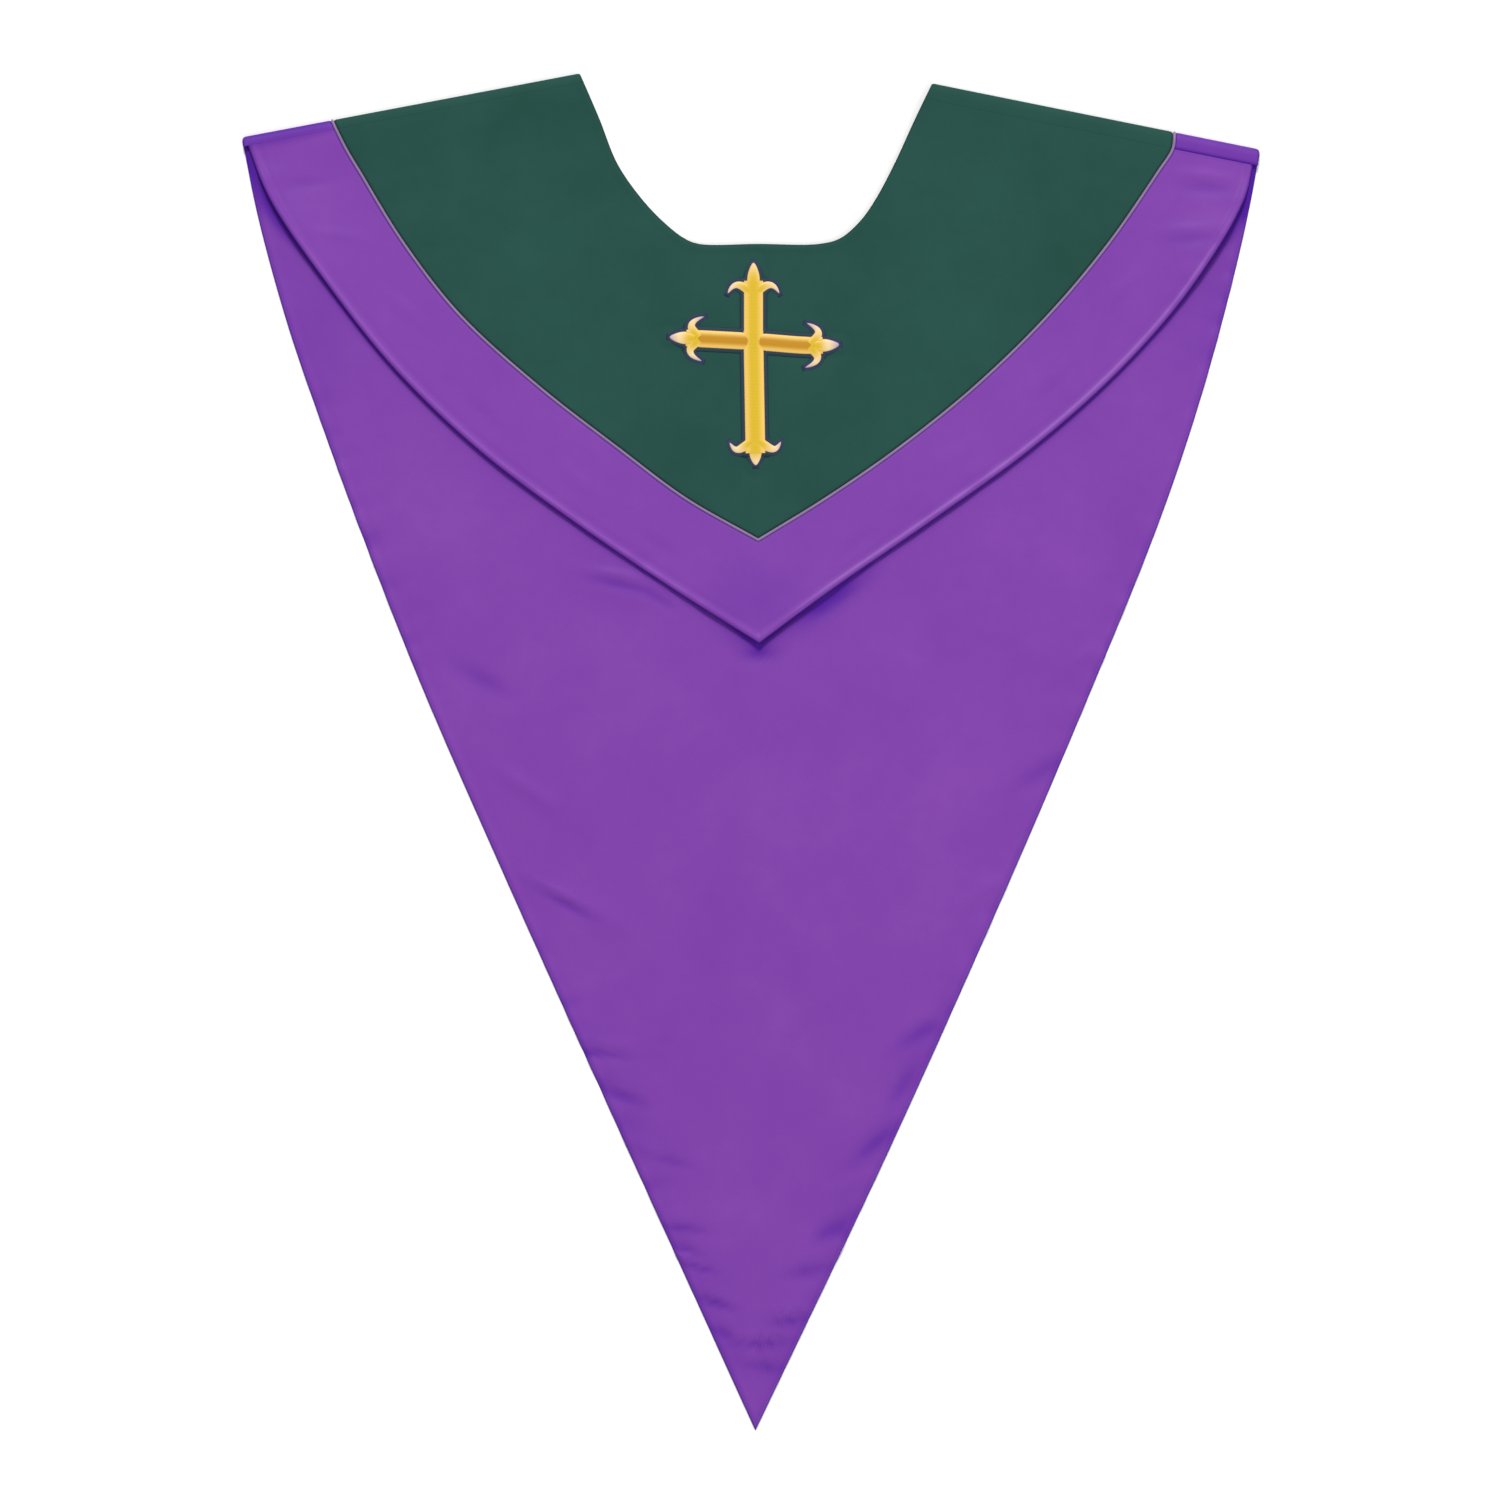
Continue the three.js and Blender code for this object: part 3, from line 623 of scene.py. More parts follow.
def satin(name, shades_of, fold_share, grain, roughness, sheen):
    """Mixes three shades of one colour by slow noise. Where the attribute holds painted shade it
    turns to a painted fold shade, and where it holds a painted highlight, along a pressed edge,
    it turns to a lighter one. The rim is darkened by painted shade, and a slanted grain is bumped
    with a cross thread."""
    material, node, shader = new_material(name)
    place = node("TexCoord").outputs["Object"]
    cloud = node("TexNoise", None,
                     {"Vector": place, "Scale": 13.0, "Detail": 5.0, "Roughness": 0.66})
    shades = node("ValToRGB", None, {"Fac": cloud.outputs["Fac"]})
    ramp = shades.color_ramp
    ramp.elements[0].position, ramp.elements[0].color = 0.28, linear(shades_of["dark"])
    ramp.elements[1].position, ramp.elements[1].color = 0.72, linear(shades_of["light"])
    ramp.elements.new(0.5).color = linear(shades_of["plain"])
    edge = node("Attribute", {"attribute_name": "edge_mm"})
    # painted shade along the rim, where the cloth rounds away
    rim = node("MapRange", {"interpolation_type": "SMOOTHSTEP"}, {
        "Value": edge.outputs["Fac"], "From Min": 0.0, "From Max": PAINTED_RIM_SHADE_MM,
        "To Min": 0.85, "To Max": 0.0})
    bend = node("Attribute", {"attribute_name": "bend"})
    # painted shade where the attribute holds it: at the roll, by the free edge, in creases and
    # along edges
    folded = node("MapRange", None, {
        "Value": bend.outputs["Fac"], "From Max": 1 / fold_share, "To Max": 1.0})
    cloth = node("Mix", COLOURS, {
        MIX_SHARE: folded.outputs["Result"], MIX_FIRST: shades.outputs["Color"],
        MIX_SECOND: linear(shades_of["fold"])})
    # painted highlight where the attribute is below zero, along a pressed edge
    highlight_share = node("MapRange", None, {
        "Value": bend.outputs["Fac"], "From Min": 0.0, "From Max": -1.0})
    highlighted = node("Mix", COLOURS, {
        MIX_SHARE: highlight_share.outputs["Result"], MIX_FIRST: cloth.outputs[MIX_COLOUR],
        MIX_SECOND: linear(shades_of["painted_highlight"])})
    colour = node("Mix", COLOURS, {
        MIX_SHARE: rim.outputs["Result"], MIX_FIRST: highlighted.outputs[MIX_COLOUR],
        MIX_SECOND: linear(shades_of["rim"])})
    turned = node("Mapping", None, {
        "Vector": place, "Rotation": (0.0, 0.0, math.radians(grain["turn"]))})
    floats = node("TexWave", {"wave_profile": "SIN"}, {
        "Vector": turned.outputs["Vector"], "Scale": band_scale(grain["spacing"]),
        "Distortion": 0.6, "Detail": 1.0, "Detail Scale": 2.0})
    cross = node("TexWave", {"bands_direction": "Y"}, {
        "Vector": turned.outputs["Vector"], "Scale": band_scale(grain["spacing"] * 1.7),
        "Distortion": 0.4})
    weave = node("Math", {"operation": "MULTIPLY"}, {
        0: floats.outputs["Fac"], 1: cross.outputs["Fac"]})
    slub = node("TexNoise", None,
                    {"Vector": place, "Scale": 60.0, "Detail": 2.0, "Roughness": 0.6})
    soft = node("Bump", None, {
        "Height": slub.outputs["Fac"], "Strength": 0.35, "Distance": 0.5 * MM})
    bump = node("Bump", None, {
        "Height": weave.outputs["Value"], "Strength": grain["strength"],
        "Distance": grain["depth"], "Normal": soft.outputs["Normal"]})
    gloss = node("MapRange", None, {
        "Value": slub.outputs["Fac"], "To Min": roughness - 0.05, "To Max": roughness + 0.05})
    fill(shader, {
        "Base Color": colour.outputs[MIX_COLOUR], "Roughness": gloss.outputs["Result"],
        "Normal": bump.outputs["Normal"], "Specular IOR Level": 0.14, "Sheen Weight": sheen,
        "Sheen Roughness": 0.4, "Sheen Tint": linear(shades_of["light"])})
    return material


# the last three colours are a painted fold shade, a painted rim shade and a painted highlight
PURPLE = satin("purple_polyester_satin",
               {"plain": "#763b9d", "light": "#7b3fa0", "dark": "#72379b", "fold": "#4a1091",
                "rim": "#390886", "painted_highlight": "#a472c6"}, 0.46,
               {"turn": 63, "spacing": 0.9 * MM, "strength": 0.3, "depth": 0.1 * MM}, 0.48, 0.02)

# %% [markdown]
# ## Green yoke cloth
# The yoke is a firmer, duller cloth: a plain weave whose warp and weft show as an even grid. Real
# threads are 0.4 mm apart, drawn 0.8 mm apart so that they show.

# %% Yoke material
# the yoke's last three colours are a painted fold shade, a painted rim shade and a painted
# highlight
GREEN = satin("green_plain_weave",
              {"plain": "#1c473f", "light": "#1f4b42", "dark": "#19433a", "fold": "#19433a",
               "rim": "#12362e", "painted_highlight": "#1f4b42"}, 0.1,
              {"turn": 0, "spacing": 0.8 * MM, "strength": 0.25, "depth": 0.1 * MM}, 0.7, 0.01)


# %% [markdown]
# ## The long back panel and its yoke
# The back panel comes round each shoulder from the seam on top, in a soft roll, and lies flat
# below. Its inner face is what shows beyond the front panel, so that face is the fine one.

# %% Back panel
NEAR_ZERO = 1e-6
CREASE_EASE = 14


def back_middle(grid, fine_relief):
    """Middle height and half wall of the back panel. Round the roll it is half an oval, taller at
    its seam by what the stack and the roll leave. Below, it stands between the surface and the
    creased upper face."""
    x, y, angle = grid["x"], grid["y"], grid["angle"]
    below = angle < -math.pi / 2 + NEAR_ZERO
    roll = FOLD_RADIUS + (FOLD_RADIUS - WALL / 2) * np.sin(angle)
    past = nearest_inset(x, y) - ROLL_REACH
    strip = angle > math.pi / 2 - NEAR_ZERO
    roll = roll - strip * (2 * FOLD_RADIUS - STACK) * smooth_step(past, 0, FOLD_EASE)
    fade = smooth_step(nearest_inset(x, y), ROLL_REACH, ROLL_REACH + CREASE_EASE)
    upper = WALL + (back_top(x, y) - WALL + fine_relief) * fade
    middle = np.where(below, upper / 2, roll)
    return middle, np.where(below, upper / 2, WALL / 2)


def edge_ripple(grid, key):
    """Puckers square to a bagged edge: waves of uneven length along it that die away inwards."""
    x = grid["x"]
    run = grid["y"] + 0.35 * np.abs(x)
    wave = (np.sin(run / 3.1 + 2 * np.sin(run / 19)) + 0.7 * np.sin(run / 4.7 + 1.3)
            + 0.5 * np.sin(run / 11.3))
    patch = 0.5 + 0.5 * np.sin(run / 41 + x / 53 + 0.8)
    return wave * patch * np.exp(-np.clip(grid[key], 0, None) / 7)


def beyond_free_edge(x, y):
    """Distance of points of the long panel from the line of the short panel's free edge."""
    line = np.concatenate([HALVES["free_edge", side]["points"][::6] for side in SHOULDERS])
    away = np.full(x.shape, np.inf)
    for start in range(0, len(line), 40):
        part = line[start:start + 40]
        gap = np.hypot(x[..., None] - part[:, 0], y[..., None] - part[:, 1])
        away = np.minimum(away, gap.min(axis=-1))
    return away


# painted shadows beside the free edge: depth, width past the edge, place, reach
FREE_EDGE_SHADES = [
    (1.0, 11, (42, 78), (26, 34)),
    (1.3, 7, (-2, 55), (20, 16)),
]
# broad painted shade below the shoulders: depth, place, reach
SHOULDER_SHADES = [
    (0.3, (-245, 255), (40, 60)),
    (0.35, (262, 262), (34, 52)),
]
# a free edge's pressed lip and the dip beside it: rise, distance from the edge, width
LONG_LIP = [(0.2, 2.4, 1.5), (-0.1, 6.5, 2.6)]
BAND_LIP = [(0.6, 2.3, 1.25), (-0.18, 5.4, 1.9)]
# distances from the seam between which the relief sets in, and heights of the open corners, where
# the painted shadow widens
SHOWN = (20, 44)
POCKET = (272, 308)

long_grid = panel_grid("yoke_seam", "long_edge", (BAND_TO_CORD, 0.0), back_stations, 232, 134,
                       PURPLE_END, corner=2.4)
x, y = long_grid["x"], long_grid["y"]
shown = smooth_step(long_grid["inner_distance"], *SHOWN)
pocket = smooth_step(y, *POCKET)
beyond = beyond_free_edge(x, y)
# painted shadow along the short panel's free edge, wider in the open corners below the shoulders
shade = (1.9 + 0.3 * pocket) * hump(beyond, 0, 2.2 + 5.0 * pocket)
for depth, width, place, reach in FREE_EDGE_SHADES:
    shade += depth * hump(beyond, 0, width) * bell(x, y, place, reach)
for depth, place, reach in SHOULDER_SHADES:
    shade += depth * bell(x, y, place, reach)
puckers = 2.3 * creased(BACK_PUCKERS, x, y) + 0.42 * edge_ripple(long_grid, "outer_distance")
# painted shade in the troughs of the puckers
shade += np.clip(-puckers, 0, 1) * shown
# painted shade along the lower edges, in patches, and a thin line of it just inside each edge
edge_run = np.sin(y / 13 + 2 * np.sin(y / 31))
from_edge = long_grid["outer_distance"]
shade += 0.6 * np.exp(-from_edge / 11) * smooth_step(-y, 0, 150) * (0.6 + 0.4 * edge_run)
shade += 0.4 * hump(from_edge, 2.0, 0.9)
long_grid["bend"] += shade * (long_grid["angle"] < 0)
relief = (puckers + creased(BACK_WAVES, x, y) + swell(x, y)) * shown
for rise, place, width in LONG_LIP:
    relief += rise * hump(from_edge, place, width)
middle, half = back_middle(long_grid, relief)
long_panel = put(shell_mesh("long_panel_cloth", long_grid, middle, half, False),
                 PURPLE, "purple_satin", "long_panel")

yoke_grid = panel_grid("neckline", "yoke_seam", (0.0, YOKE_TO_CORD), back_stations, 110, 30,
                       GREEN_END, NECK_SET_BACK)
middle, half = back_middle(yoke_grid, 0.0)
back_yoke = put(shell_mesh("back_yoke_cloth", yoke_grid, middle, half, False),
                GREEN, "green_satin", "back_yoke")

# %% [markdown]
# ## The short front panel
# The front yoke and the purple band lie on the back panel. The band's free edge was pressed over
# its seam allowance, which leaves a soft raised lip, and it stands off the cloth below at the
# outer corners and at its point, which is where the photo has its deepest shadows.


# %% Embroidery places
CROSS_CENTRE = (1.4, 230.0)
# turn in degrees, reach, half width, bud length, where a hook leaves, span, sweep back, sag,
# how pale its tips are, and how much painted shade darkens its gold, for the duller sheen of its
# threads
ARMS = [
    {"turn": -2, "reach": 48.1, "half": 5.2, "bud": 9.3, "crest": 6.4, "span": 12.3,
     "sweep": 10.0, "sag": 1.1, "pale": 1.0, "deep": 1.0},
    {"turn": 90, "reach": 44.2, "half": 5.8, "bud": 10.2, "crest": 7.6, "span": 14.2,
     "sweep": 7.6, "sag": 0.0, "pale": 0.45, "deep": 0.0},
    {"turn": 177, "reach": 47.1, "half": 5.2, "bud": 9.3, "crest": 6.4, "span": 12.3,
     "sweep": 10.0, "sag": 0.0, "pale": 0.9, "deep": 1.0},
    {"turn": 271, "reach": 69.4, "half": 6.0, "bud": 6.8, "crest": 10.6, "span": 14.2,
     "sweep": 6.8, "sag": 0.0, "pale": 0.6, "deep": 0.0},
]


def arm_place(arm, along, aside):
    """Plan place of a point given along and beside an arm, which sags in a half wave."""
    turn = math.radians(arm["turn"])
    along, aside = np.asarray(along, float), np.asarray(aside, float)
    aside = aside - arm["sag"] * np.sin(np.pi * (np.clip(along, 0, None) / arm["reach"]) ** 1.5)
    return np.stack([CROSS_CENTRE[0] + along * math.cos(turn) - aside * math.sin(turn),
                     CROSS_CENTRE[1] + along * math.sin(turn) + aside * math.cos(turn)], -1)


# %% Front panel
SEWN_SHARE = 0.045
PULL = {"rise": -0.35, "place": 6.5, "width": 2.5}


def front_middle(grid, lift, fine_relief):
    """Middle height and half wall of the front panel: it rests on the back panel's upper face,
    stands up at the roll and where its edge lifts, and its own relief thickens it."""
    x, y = grid["x"], grid["y"]
    low = back_top(x, y) + GAP + roll_rise(x, y) + lift
    low = low + creased(FRONT_CREASES, x, y)
    high = low + WALL + fine_relief
    return (low + high) / 2, (high - low) / 2


def edge_lift(grid):
    """Lift of the free edge: bells along the edge, growing as the square of the way across. At
    the shoulder seam it is sewn down, so the lift starts from nothing there."""
    lift = np.zeros_like(grid["x"])
    for index, side in enumerate(SHOULDERS):
        here = grid["lift_row"] == index
        for place, spread, rise in EDGE_LIFTS[side]:
            lift += here * rise * hump(grid["share"], place, spread)
    return lift * grid["way"] ** 2 * smooth_step(grid["share"], 0, SEWN_SHARE)


front_grid = panel_grid("neckline", "yoke_seam", (0.0, YOKE_TO_CORD), front_stations, 236, 96,
                        GREEN_END)
x, y = front_grid["x"], front_grid["y"]
bars = np.concatenate([arm_place(arm, np.linspace(0, arm["reach"], 60), 0) for arm in ARMS])
near = np.min(np.hypot(x[..., None] - bars[:, 0], y[..., None] - bars[:, 1]), axis=-1)
pull = PULL["rise"] * hump(near, PULL["place"], PULL["width"])
seam = smooth_step(nearest_inset(x, y), 8, 24)
relief = (yoke_swell(x, y) + pull) * seam
relief += 0.22 * hump(front_grid["inner_distance"], 2.4, 1.6)
middle, half = front_middle(front_grid, 0.0, relief)
front_yoke = put(shell_mesh("front_yoke_cloth", front_grid, middle, half, True),
                 GREEN, "green_satin", "front_yoke")

band_grid = panel_grid("yoke_seam", "free_edge", (BAND_TO_CORD, 0.0), front_stations, 236, 40,
                       PURPLE_END)
x, y = band_grid["x"], band_grid["y"]
seam = smooth_step(nearest_inset(x, y), 8, 18)
relief = creased(FRONT_PUCKERS, x, y) + 0.2 * edge_ripple(band_grid, "outer_distance")
# painted shade in the troughs of the band's puckers, and a painted shadow near its point
band_grid["bend"] += 0.5 * np.clip(-relief, 0, 1) + 0.4 * bell(x, y, (4, 88), (26, 22))
from_edge = band_grid["outer_distance"]
# painted highlight along the pressed lip of the free edge, stronger to the right and gone near the
# shoulders
band_grid["bend"] -= (hump(from_edge, 2.7, 0.75) * (0.16 + 0.3 * smooth_step(x, -20, 60))
                      * (1 - smooth_step(y, 268, 305)))
relief = seam * (relief + swell(x, y + 60) * smooth_step(band_grid["inner_distance"], 0, 12))
for rise, place, width in BAND_LIP:
    relief += rise * hump(from_edge, place, width)
middle, half = front_middle(band_grid, edge_lift(band_grid), relief)
front_band = put(shell_mesh("front_band_cloth", band_grid, middle, half, True),
                 PURPLE, "purple_satin", "front_band")

# %% [markdown]
# ## The cloth as cut
# Each panel piece is a sheet that was cut flat. The band was cut as two bias strips that meet in a
# mitre at the point, so its flat size is that of one long strip.

# %% [markdown]
# ## Piping
# A thin cord in a bias strip is caught in the seam between yoke and purple cloth. It is an oval
# carried along the seam line, standing half a millimetre out of the cloth, and mitred at the
# point as a sewn corner is. A curve with a round bevel would pinch there, so the rings are placed
# one by one.


# %% Piping shape
CORD_SIDES = 16
CORD_RISE = 0.5


def piping_mesh(name, stations, count, heights):
    """Oval ring (cos a across, sin a up) at each station of the seam. Across is square to the
    line, and upright and 1 / sine longer at the mitre."""
    rings = []
    for side in SHOULDERS:
        table = station_table(stations, side, count)
        point, way = on_line("yoke_seam", side, table[0], table[1])
        sign = SHOULDERS[side]["sign"]
        across = np.stack([-way[:, 1], way[:, 0]], -1) * sign
        mitre = table[1] == 1
        sine = np.abs(way[:, :1])
        across = np.where(mitre[:, None], np.array([[0.0, -1.0]]) / sine, across)
        grid = {"x": point[:, :1], "y": point[:, 1:], "angle": table[2][:, None]}
        middle, half = heights(grid)
        _, inward = shoulder_axes(side)
        rings.append((point, across, middle, half, way_out(table[2], inward)))
    point, across, middle, half, outward = (np.concatenate(part) for part in zip(*rings))
    turn = np.linspace(0, 2 * math.pi, CORD_SIDES, endpoint=False)
    side_step = np.cos(turn)[None, :, None] * across[:, None] * PIPING_HALF
    ring = np.zeros((len(point), CORD_SIDES, 3))
    ring[..., :2] = point[:, None] + side_step
    ring[..., 2] = middle
    proud = np.clip(np.sin(turn), 0, None)[None, :] * CORD_RISE
    ring += outward[:, None] * (np.sin(turn) * half + proud)[..., None]
    ring[..., 2] = np.clip(ring[..., 2], 0, None)  # pressed flat where it rests
    index = np.arange(ring[..., 0].size).reshape(ring.shape[:2])
    ahead = np.roll(index, -1, axis=1)
    quads = np.stack([index[:-1], index[1:], ahead[1:], ahead[:-1]], -1).reshape(-1, 4)
    caps = [index[0].tolist(), index[-1].tolist()[::-1]]
    faces = [*quads.tolist(), *caps]
    corners = ring.reshape(-1, 3)
    mesh = smooth_mesh(name, corners, faces_out(corners, quads, faces), {})
    run = np.concatenate([[0], np.cumsum(np.linalg.norm(np.diff(point, axis=0), axis=1))])
    along = np.repeat(run, CORD_SIDES) * MM
    round_way = np.tile(np.abs(turn / math.pi - 1), len(point)) * math.pi * MM
    corner_index = np.zeros(len(mesh.loops), np.int64)
    mesh.loops.foreach_get("vertex_index", corner_index)
    uv = np.stack([along[corner_index], round_way[corner_index]], -1)
    mesh.uv_layers.new(name="cord").data.foreach_set("uv", uv.reshape(-1))
    mesh.validate()
    return mesh


# %% Piping material
def bias_piping():
    """Satin bias strip round a cord: fine threads at 45 degrees, two shades mixed by noise."""
    material, node, shader = new_material("mauve_bias_piping")
    place = node("UVMap", {"uv_map": "cord"}).outputs["UV"]
    turned = node("Mapping", None, {
        "Vector": place, "Rotation": (0.0, 0.0, math.radians(45))})
    thread = node("TexWave", None, {
        "Vector": turned.outputs["Vector"], "Scale": band_scale(0.6 * MM), "Distortion": 0.5})
    cloud = node("TexNoise", None, {"Vector": place, "Scale": 70.0})
    shades = node("Mix", COLOURS, {
        MIX_SHARE: cloud.outputs["Fac"], MIX_FIRST: linear("#775b84"),
        MIX_SECOND: linear("#8f739e")})
    bump = node("Bump", None, {
        "Height": thread.outputs["Fac"], "Strength": 0.4, "Distance": 0.1 * MM})
    fill(shader, {
        "Base Color": shades.outputs[MIX_COLOUR], "Normal": bump.outputs["Normal"],
        "Roughness": 0.55, "Sheen Weight": 0.15})
    return material


MAUVE = bias_piping()

# each cord's heights are those of the panel that it is sewn into
put(piping_mesh("back_piping_cord", back_stations, 150, lambda grid: back_middle(grid, 0.0)),
    MAUVE, "mauve_piping", "back_piping")
put(piping_mesh("front_piping_cord", front_stations, 236,
                lambda grid: front_middle(grid, 0.0, 0.0)), MAUVE, "mauve_piping", "front_piping")

# %% [markdown]
# ## The embroidered cross
# A budded cross in satin stitch: shiny threads laid side by side over padding, square to each
# bar. Every bar, bud and hook is one column, a rounded section carried along its own middle line,
# with the threads as fine ridges across it. They are drawn 0.8 mm apart, twice the real distance,
# so that they show. A wider and lower copy in dark thread paints the shade round the raised
# embroidery as a dark outline.
# Bump alone would draw the threads, but it would leave the cross flat when seen from the side.

# %% Satin stitch columns
THREAD_STEP = 0.8
THREAD_RISE = 0.07
RING_POINTS = 20
PAD_HEIGHT = 1.15
# height and spread of the dark outline that paints the shade round the raised cross
OUTLINE_HEIGHT = 0.62
OUTLINE_SPREAD = 1.9
STITCH_SINK = 0.3
RINGS_A_THREAD = 4
FEWEST_RINGS = 12
UNDERSIDE = 0.35
ROUND_POWER, FLAT_POWER = 0.8, 0.25


def bezier(points, t):
    """Point on a cubic curve at t: (1-t)^3 a + 3(1-t)^2 t b + 3(1-t) t^2 c + t^3 d."""
    a, b, c, d = (np.asarray(p, float) for p in points)
    t = t[:, None]
    return (1 - t) ** 3 * a + 3 * (1 - t) ** 2 * t * b + 3 * (1 - t) * t * t * c + t ** 3 * d


def column(path, half_width, height, spread):
    """Rings of one satin column. At each point of the path the section is half_width cos(a)
    across and height sin(a) up, flat below, with thread ridges |sin(pi s / step)| on top. With a
    spread it is wider and longer all round, low and plain, as the dark outline that paints the
    shade round the raised cross."""
    step = np.linalg.norm(np.diff(path, axis=0), axis=1)
    run = np.concatenate([[0], np.cumsum(step)])
    even = np.linspace(0, run[-1],
                       max(FEWEST_RINGS, int(run[-1] / (THREAD_STEP / RINGS_A_THREAD))))
    path = np.stack([np.interp(even, run, path[:, i]) for i in (0, 1)], -1)
    share = even / run[-1]
    width = np.interp(even, run, half_width) + spread
    tall = np.interp(even, run, height)
    way = np.gradient(path, axis=0)
    way /= np.linalg.norm(way, axis=1, keepdims=True)
    path[0] -= way[0] * spread
    path[-1] += way[-1] * spread
    across = np.stack([-way[:, 1], way[:, 0]], -1)
    turn = np.linspace(0, 2 * math.pi, RING_POINTS, endpoint=False)
    thread = np.abs(np.sin(math.pi * even / THREAD_STEP))[:, None]
    crown = np.clip(np.sin(turn), 0, None)
    ring = np.zeros((len(path), RING_POINTS, 3))
    ring[..., :2] = path[:, None] + np.cos(turn)[None, :, None] * (across * width[:, None])[:, None]
    power = FLAT_POWER if spread else ROUND_POWER
    shape = np.where(np.sin(turn) > 0, crown ** power, np.sin(turn) * UNDERSIDE)
    relief = 0 if spread else THREAD_RISE * thread * (crown > 0.05)
    ring[..., 2] = tall[:, None] * shape[None] + relief
    middle = np.abs(np.cos(turn))[None] * np.ones_like(ring[..., 0])
    return ring, middle, np.repeat(share[:, None], RING_POINTS, 1)


# %% [markdown]
# Each of the four arms is a bar, a bud at its end and two hooks that sweep back. Their measures
# stand in one table, so one loop draws them all, and each keeps the photo's small unevenness.

# %% Columns of the cross
def cross_columns():
    """Path, half width, height, paleness at its end and painted shade of the gold of every column.
    """
    columns = []
    for arm in ARMS:
        crest = arm["reach"] - arm["bud"]
        upright = 1 - arm["deep"]
        steps = np.linspace(-6 * upright, crest, 40)
        columns.append((arm_place(arm, steps, 0), np.full(40, arm["half"]),
                        np.full(40, 0.94 + 0.12 * upright), 0.0, arm["deep"]))
        t = np.linspace(0, 1, 26)
        bud = 3.8 * np.sqrt(np.clip(1 - t ** 2, 0, 1)) * (0.82 + 0.3 * np.sin(math.pi * t))
        columns.append((arm_place(arm, crest - 5 + (arm["bud"] + 5) * t, 0), bud,
                        np.clip(1.1 - 0.5 * t ** 3, 0.3, 1.1), arm["pale"], 0.0))
        tip = crest - arm["sweep"] + 0.5
        curve = bezier([(crest - 7.0, 0.5), (crest - 2.0, arm["crest"] - 1.2),
                        (crest + 0.4, arm["span"] - 3.4), (tip, arm["span"] + 0.2)], t)
        wide = (3.3 - 2.5 * t ** 1.2) * np.sqrt(np.clip(1 - t ** 10, 0, 1))
        for sign in (-1, 1):
            columns.append((arm_place(arm, curve[:, 0], sign * curve[:, 1]), wide,
                            1.05 - 0.45 * t, 0.5 + 0.5 * arm["pale"], 0.0))
    return columns


def column_mesh(name, columns, base, height, spread):
    """One mesh of all the columns, each a tube with its two ends closed."""
    corners, faces, start = [], [], 0
    fields = {"across": [], "pale": [], "deep": []}
    for path, half_width, tall, end_pale, depth in columns:
        ring, middle, share = column(path, half_width, tall * height, spread)
        ring[..., 2] += base(ring[..., 0], ring[..., 1])
        index = start + np.arange(ring[..., 0].size).reshape(ring.shape[:2])
        ahead = np.roll(index, -1, axis=1)
        quads = np.stack([index[:-1], ahead[:-1], ahead[1:], index[1:]], -1).reshape(-1, 4)
        faces += [*quads.tolist(), index[0].tolist()[::-1], index[-1].tolist()]
        corners.append(ring.reshape(-1, 3))
        fields["across"].append(middle.reshape(-1))
        fields["pale"].append((end_pale * share ** 1.3).reshape(-1))
        fields["deep"].append(np.full(middle.size, depth))
        start += ring[..., 0].size
    mesh = smooth_mesh(name, np.concatenate(corners), faces,
                       {label: np.concatenate(values) for label, values in fields.items()})
    mesh.validate()
    return mesh


def yoke_face(x, y):
    """Height of the front yoke's upper face, less a little so that no stitch floats."""
    return back_top(x, y) + GAP + WALL + yoke_swell(x, y) - STITCH_SINK


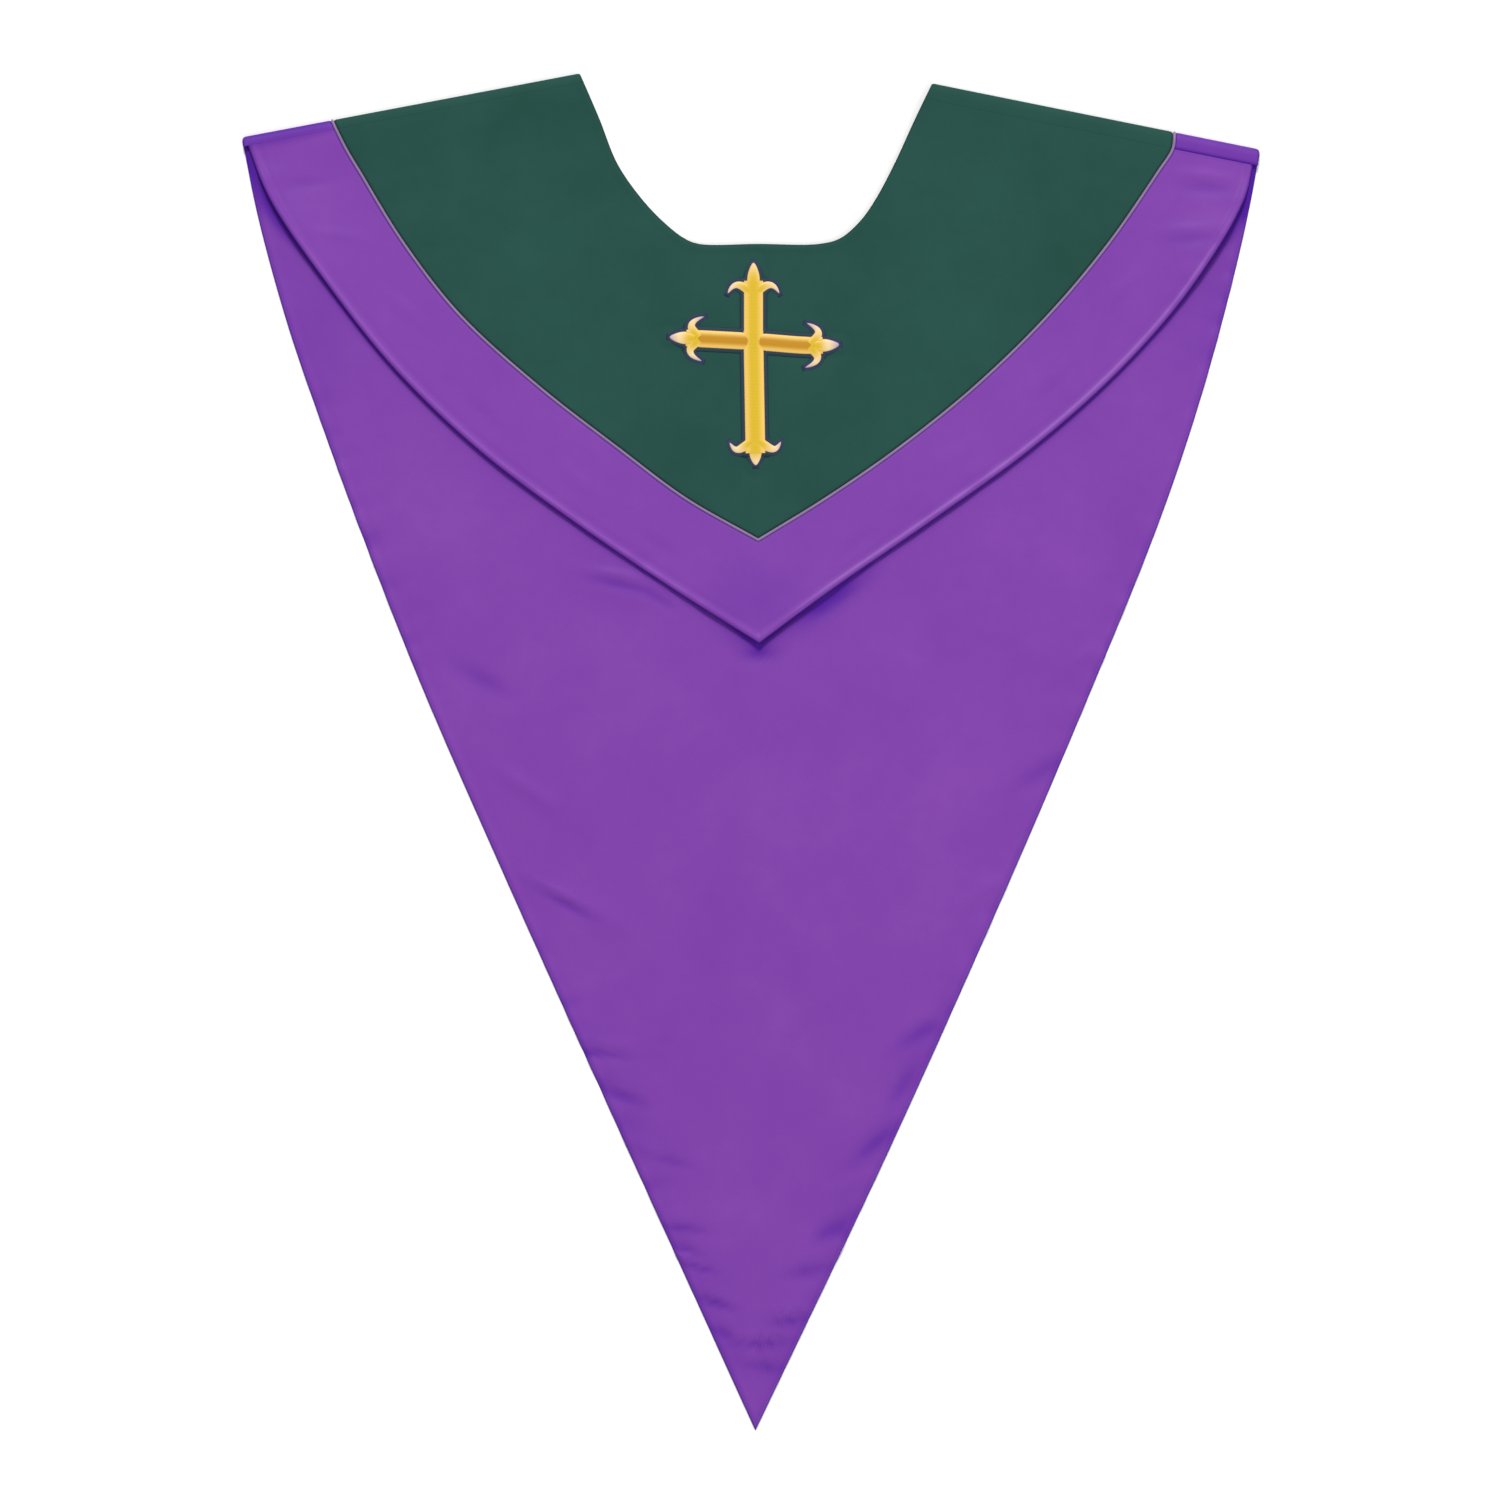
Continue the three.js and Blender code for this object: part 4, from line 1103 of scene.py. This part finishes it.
# %% Thread materials
def thread_material(name, shades, roughness):
    """Rayon thread. Its colour goes from the heart of a column to its side, takes a painted shade
    for the duller sheen where the threads lie the other way, and fades to pale and then to the
    tip's shade."""
    material, node, shader = new_material(name)
    fade = {label: node("Attribute", {"attribute_name": label}).outputs["Fac"]
            for label in ("across", "pale", "deep")}
    # painted shade on the gold of the arms whose threads catch less sheen
    heart = node("Mix", COLOURS, {
        MIX_SHARE: fade["deep"], MIX_FIRST: linear(shades["heart"]),
        MIX_SECOND: linear(shades["deep"])})
    side = node("MapRange", {"interpolation_type": "SMOOTHSTEP"}, {
        "Value": fade["across"], "From Min": 0.2, "From Max": 0.85})
    body = node("Mix", COLOURS, {
        MIX_SHARE: side.outputs["Result"], MIX_FIRST: heart.outputs[MIX_COLOUR],
        MIX_SECOND: linear(shades["side"])})
    ends = node("ValToRGB", None, {"Fac": fade["pale"]})
    ends.color_ramp.elements[0].color = linear(shades["side"])
    ends.color_ramp.elements[1].color = linear(shades["tip"])
    ends.color_ramp.elements.new(0.5).color = linear(shades["pale"])
    amount = node("MapRange", {"interpolation_type": "SMOOTHSTEP"}, {
        "Value": fade["pale"], "From Min": 0.08, "From Max": 0.45})
    colour = node("Mix", COLOURS, {
        MIX_SHARE: amount.outputs["Result"], MIX_FIRST: body.outputs[MIX_COLOUR],
        MIX_SECOND: ends.outputs["Color"]})
    place = node("TexCoord").outputs["Object"]
    fibre = node("TexNoise", None, {
        "Vector": place, "Scale": 900.0, "Detail": 2.0})
    bump = node("Bump", None, {
        "Height": fibre.outputs["Fac"], "Strength": 0.3, "Distance": 0.08 * MM})
    fill(shader, {
        "Base Color": colour.outputs[MIX_COLOUR], "Normal": bump.outputs["Normal"],
        "Roughness": roughness, "Specular IOR Level": 0.3})
    return material


GOLD = thread_material("gold_rayon_thread", {
    "heart": "#cfad20", "side": "#e8be61", "deep": "#b98415", "pale": "#e6cb9c",
    "tip": "#ab92ad"}, 0.42)
# painted shade round the raised cross, drawn as a low dark outline of thread
PAINTED_OUTLINE_SHADE = thread_material("dark_outline_painted_shade", {
    "heart": "#1d3340", "side": "#1d3340", "deep": "#1d3340", "pale": "#20304a",
    "tip": "#20304a"}, 0.7)

put(column_mesh("embroidered_cross_stitches", cross_columns(), yoke_face, PAD_HEIGHT, 0.0),
    GOLD, "gold_thread", "embroidered_cross")
# the dark outline paints the shade that the raised cross leaves on the yoke
put(column_mesh("cross_outline_painted_shade", cross_columns(), yoke_face, OUTLINE_HEIGHT,
                OUTLINE_SPREAD), PAINTED_OUTLINE_SHADE, "green_satin")

# %% [markdown]
# ## Floor
# A plain pale sheet, just under the cloth.

# %% Floor
FLOOR_HALF = 8.0
FLOOR_HEIGHT = -0.1 * MM
floor_mesh = bpy.data.meshes.new("floor")
floor_mesh.from_pydata([(across * FLOOR_HALF, up * FLOOR_HALF, FLOOR_HEIGHT)
                        for across, up in ((-1, -1), (1, -1), (1, 1), (-1, 1))],
                       [], [(0, 1, 2, 3)])
floor = bpy.data.objects.new("floor", floor_mesh)
bpy.context.scene.collection.objects.link(floor)
paper, _, shader = new_material("pale_paper")
fill(shader, {"Base Color": linear("#fbfbfa"), "Roughness": 0.9})
floor_mesh.materials.append(paper)
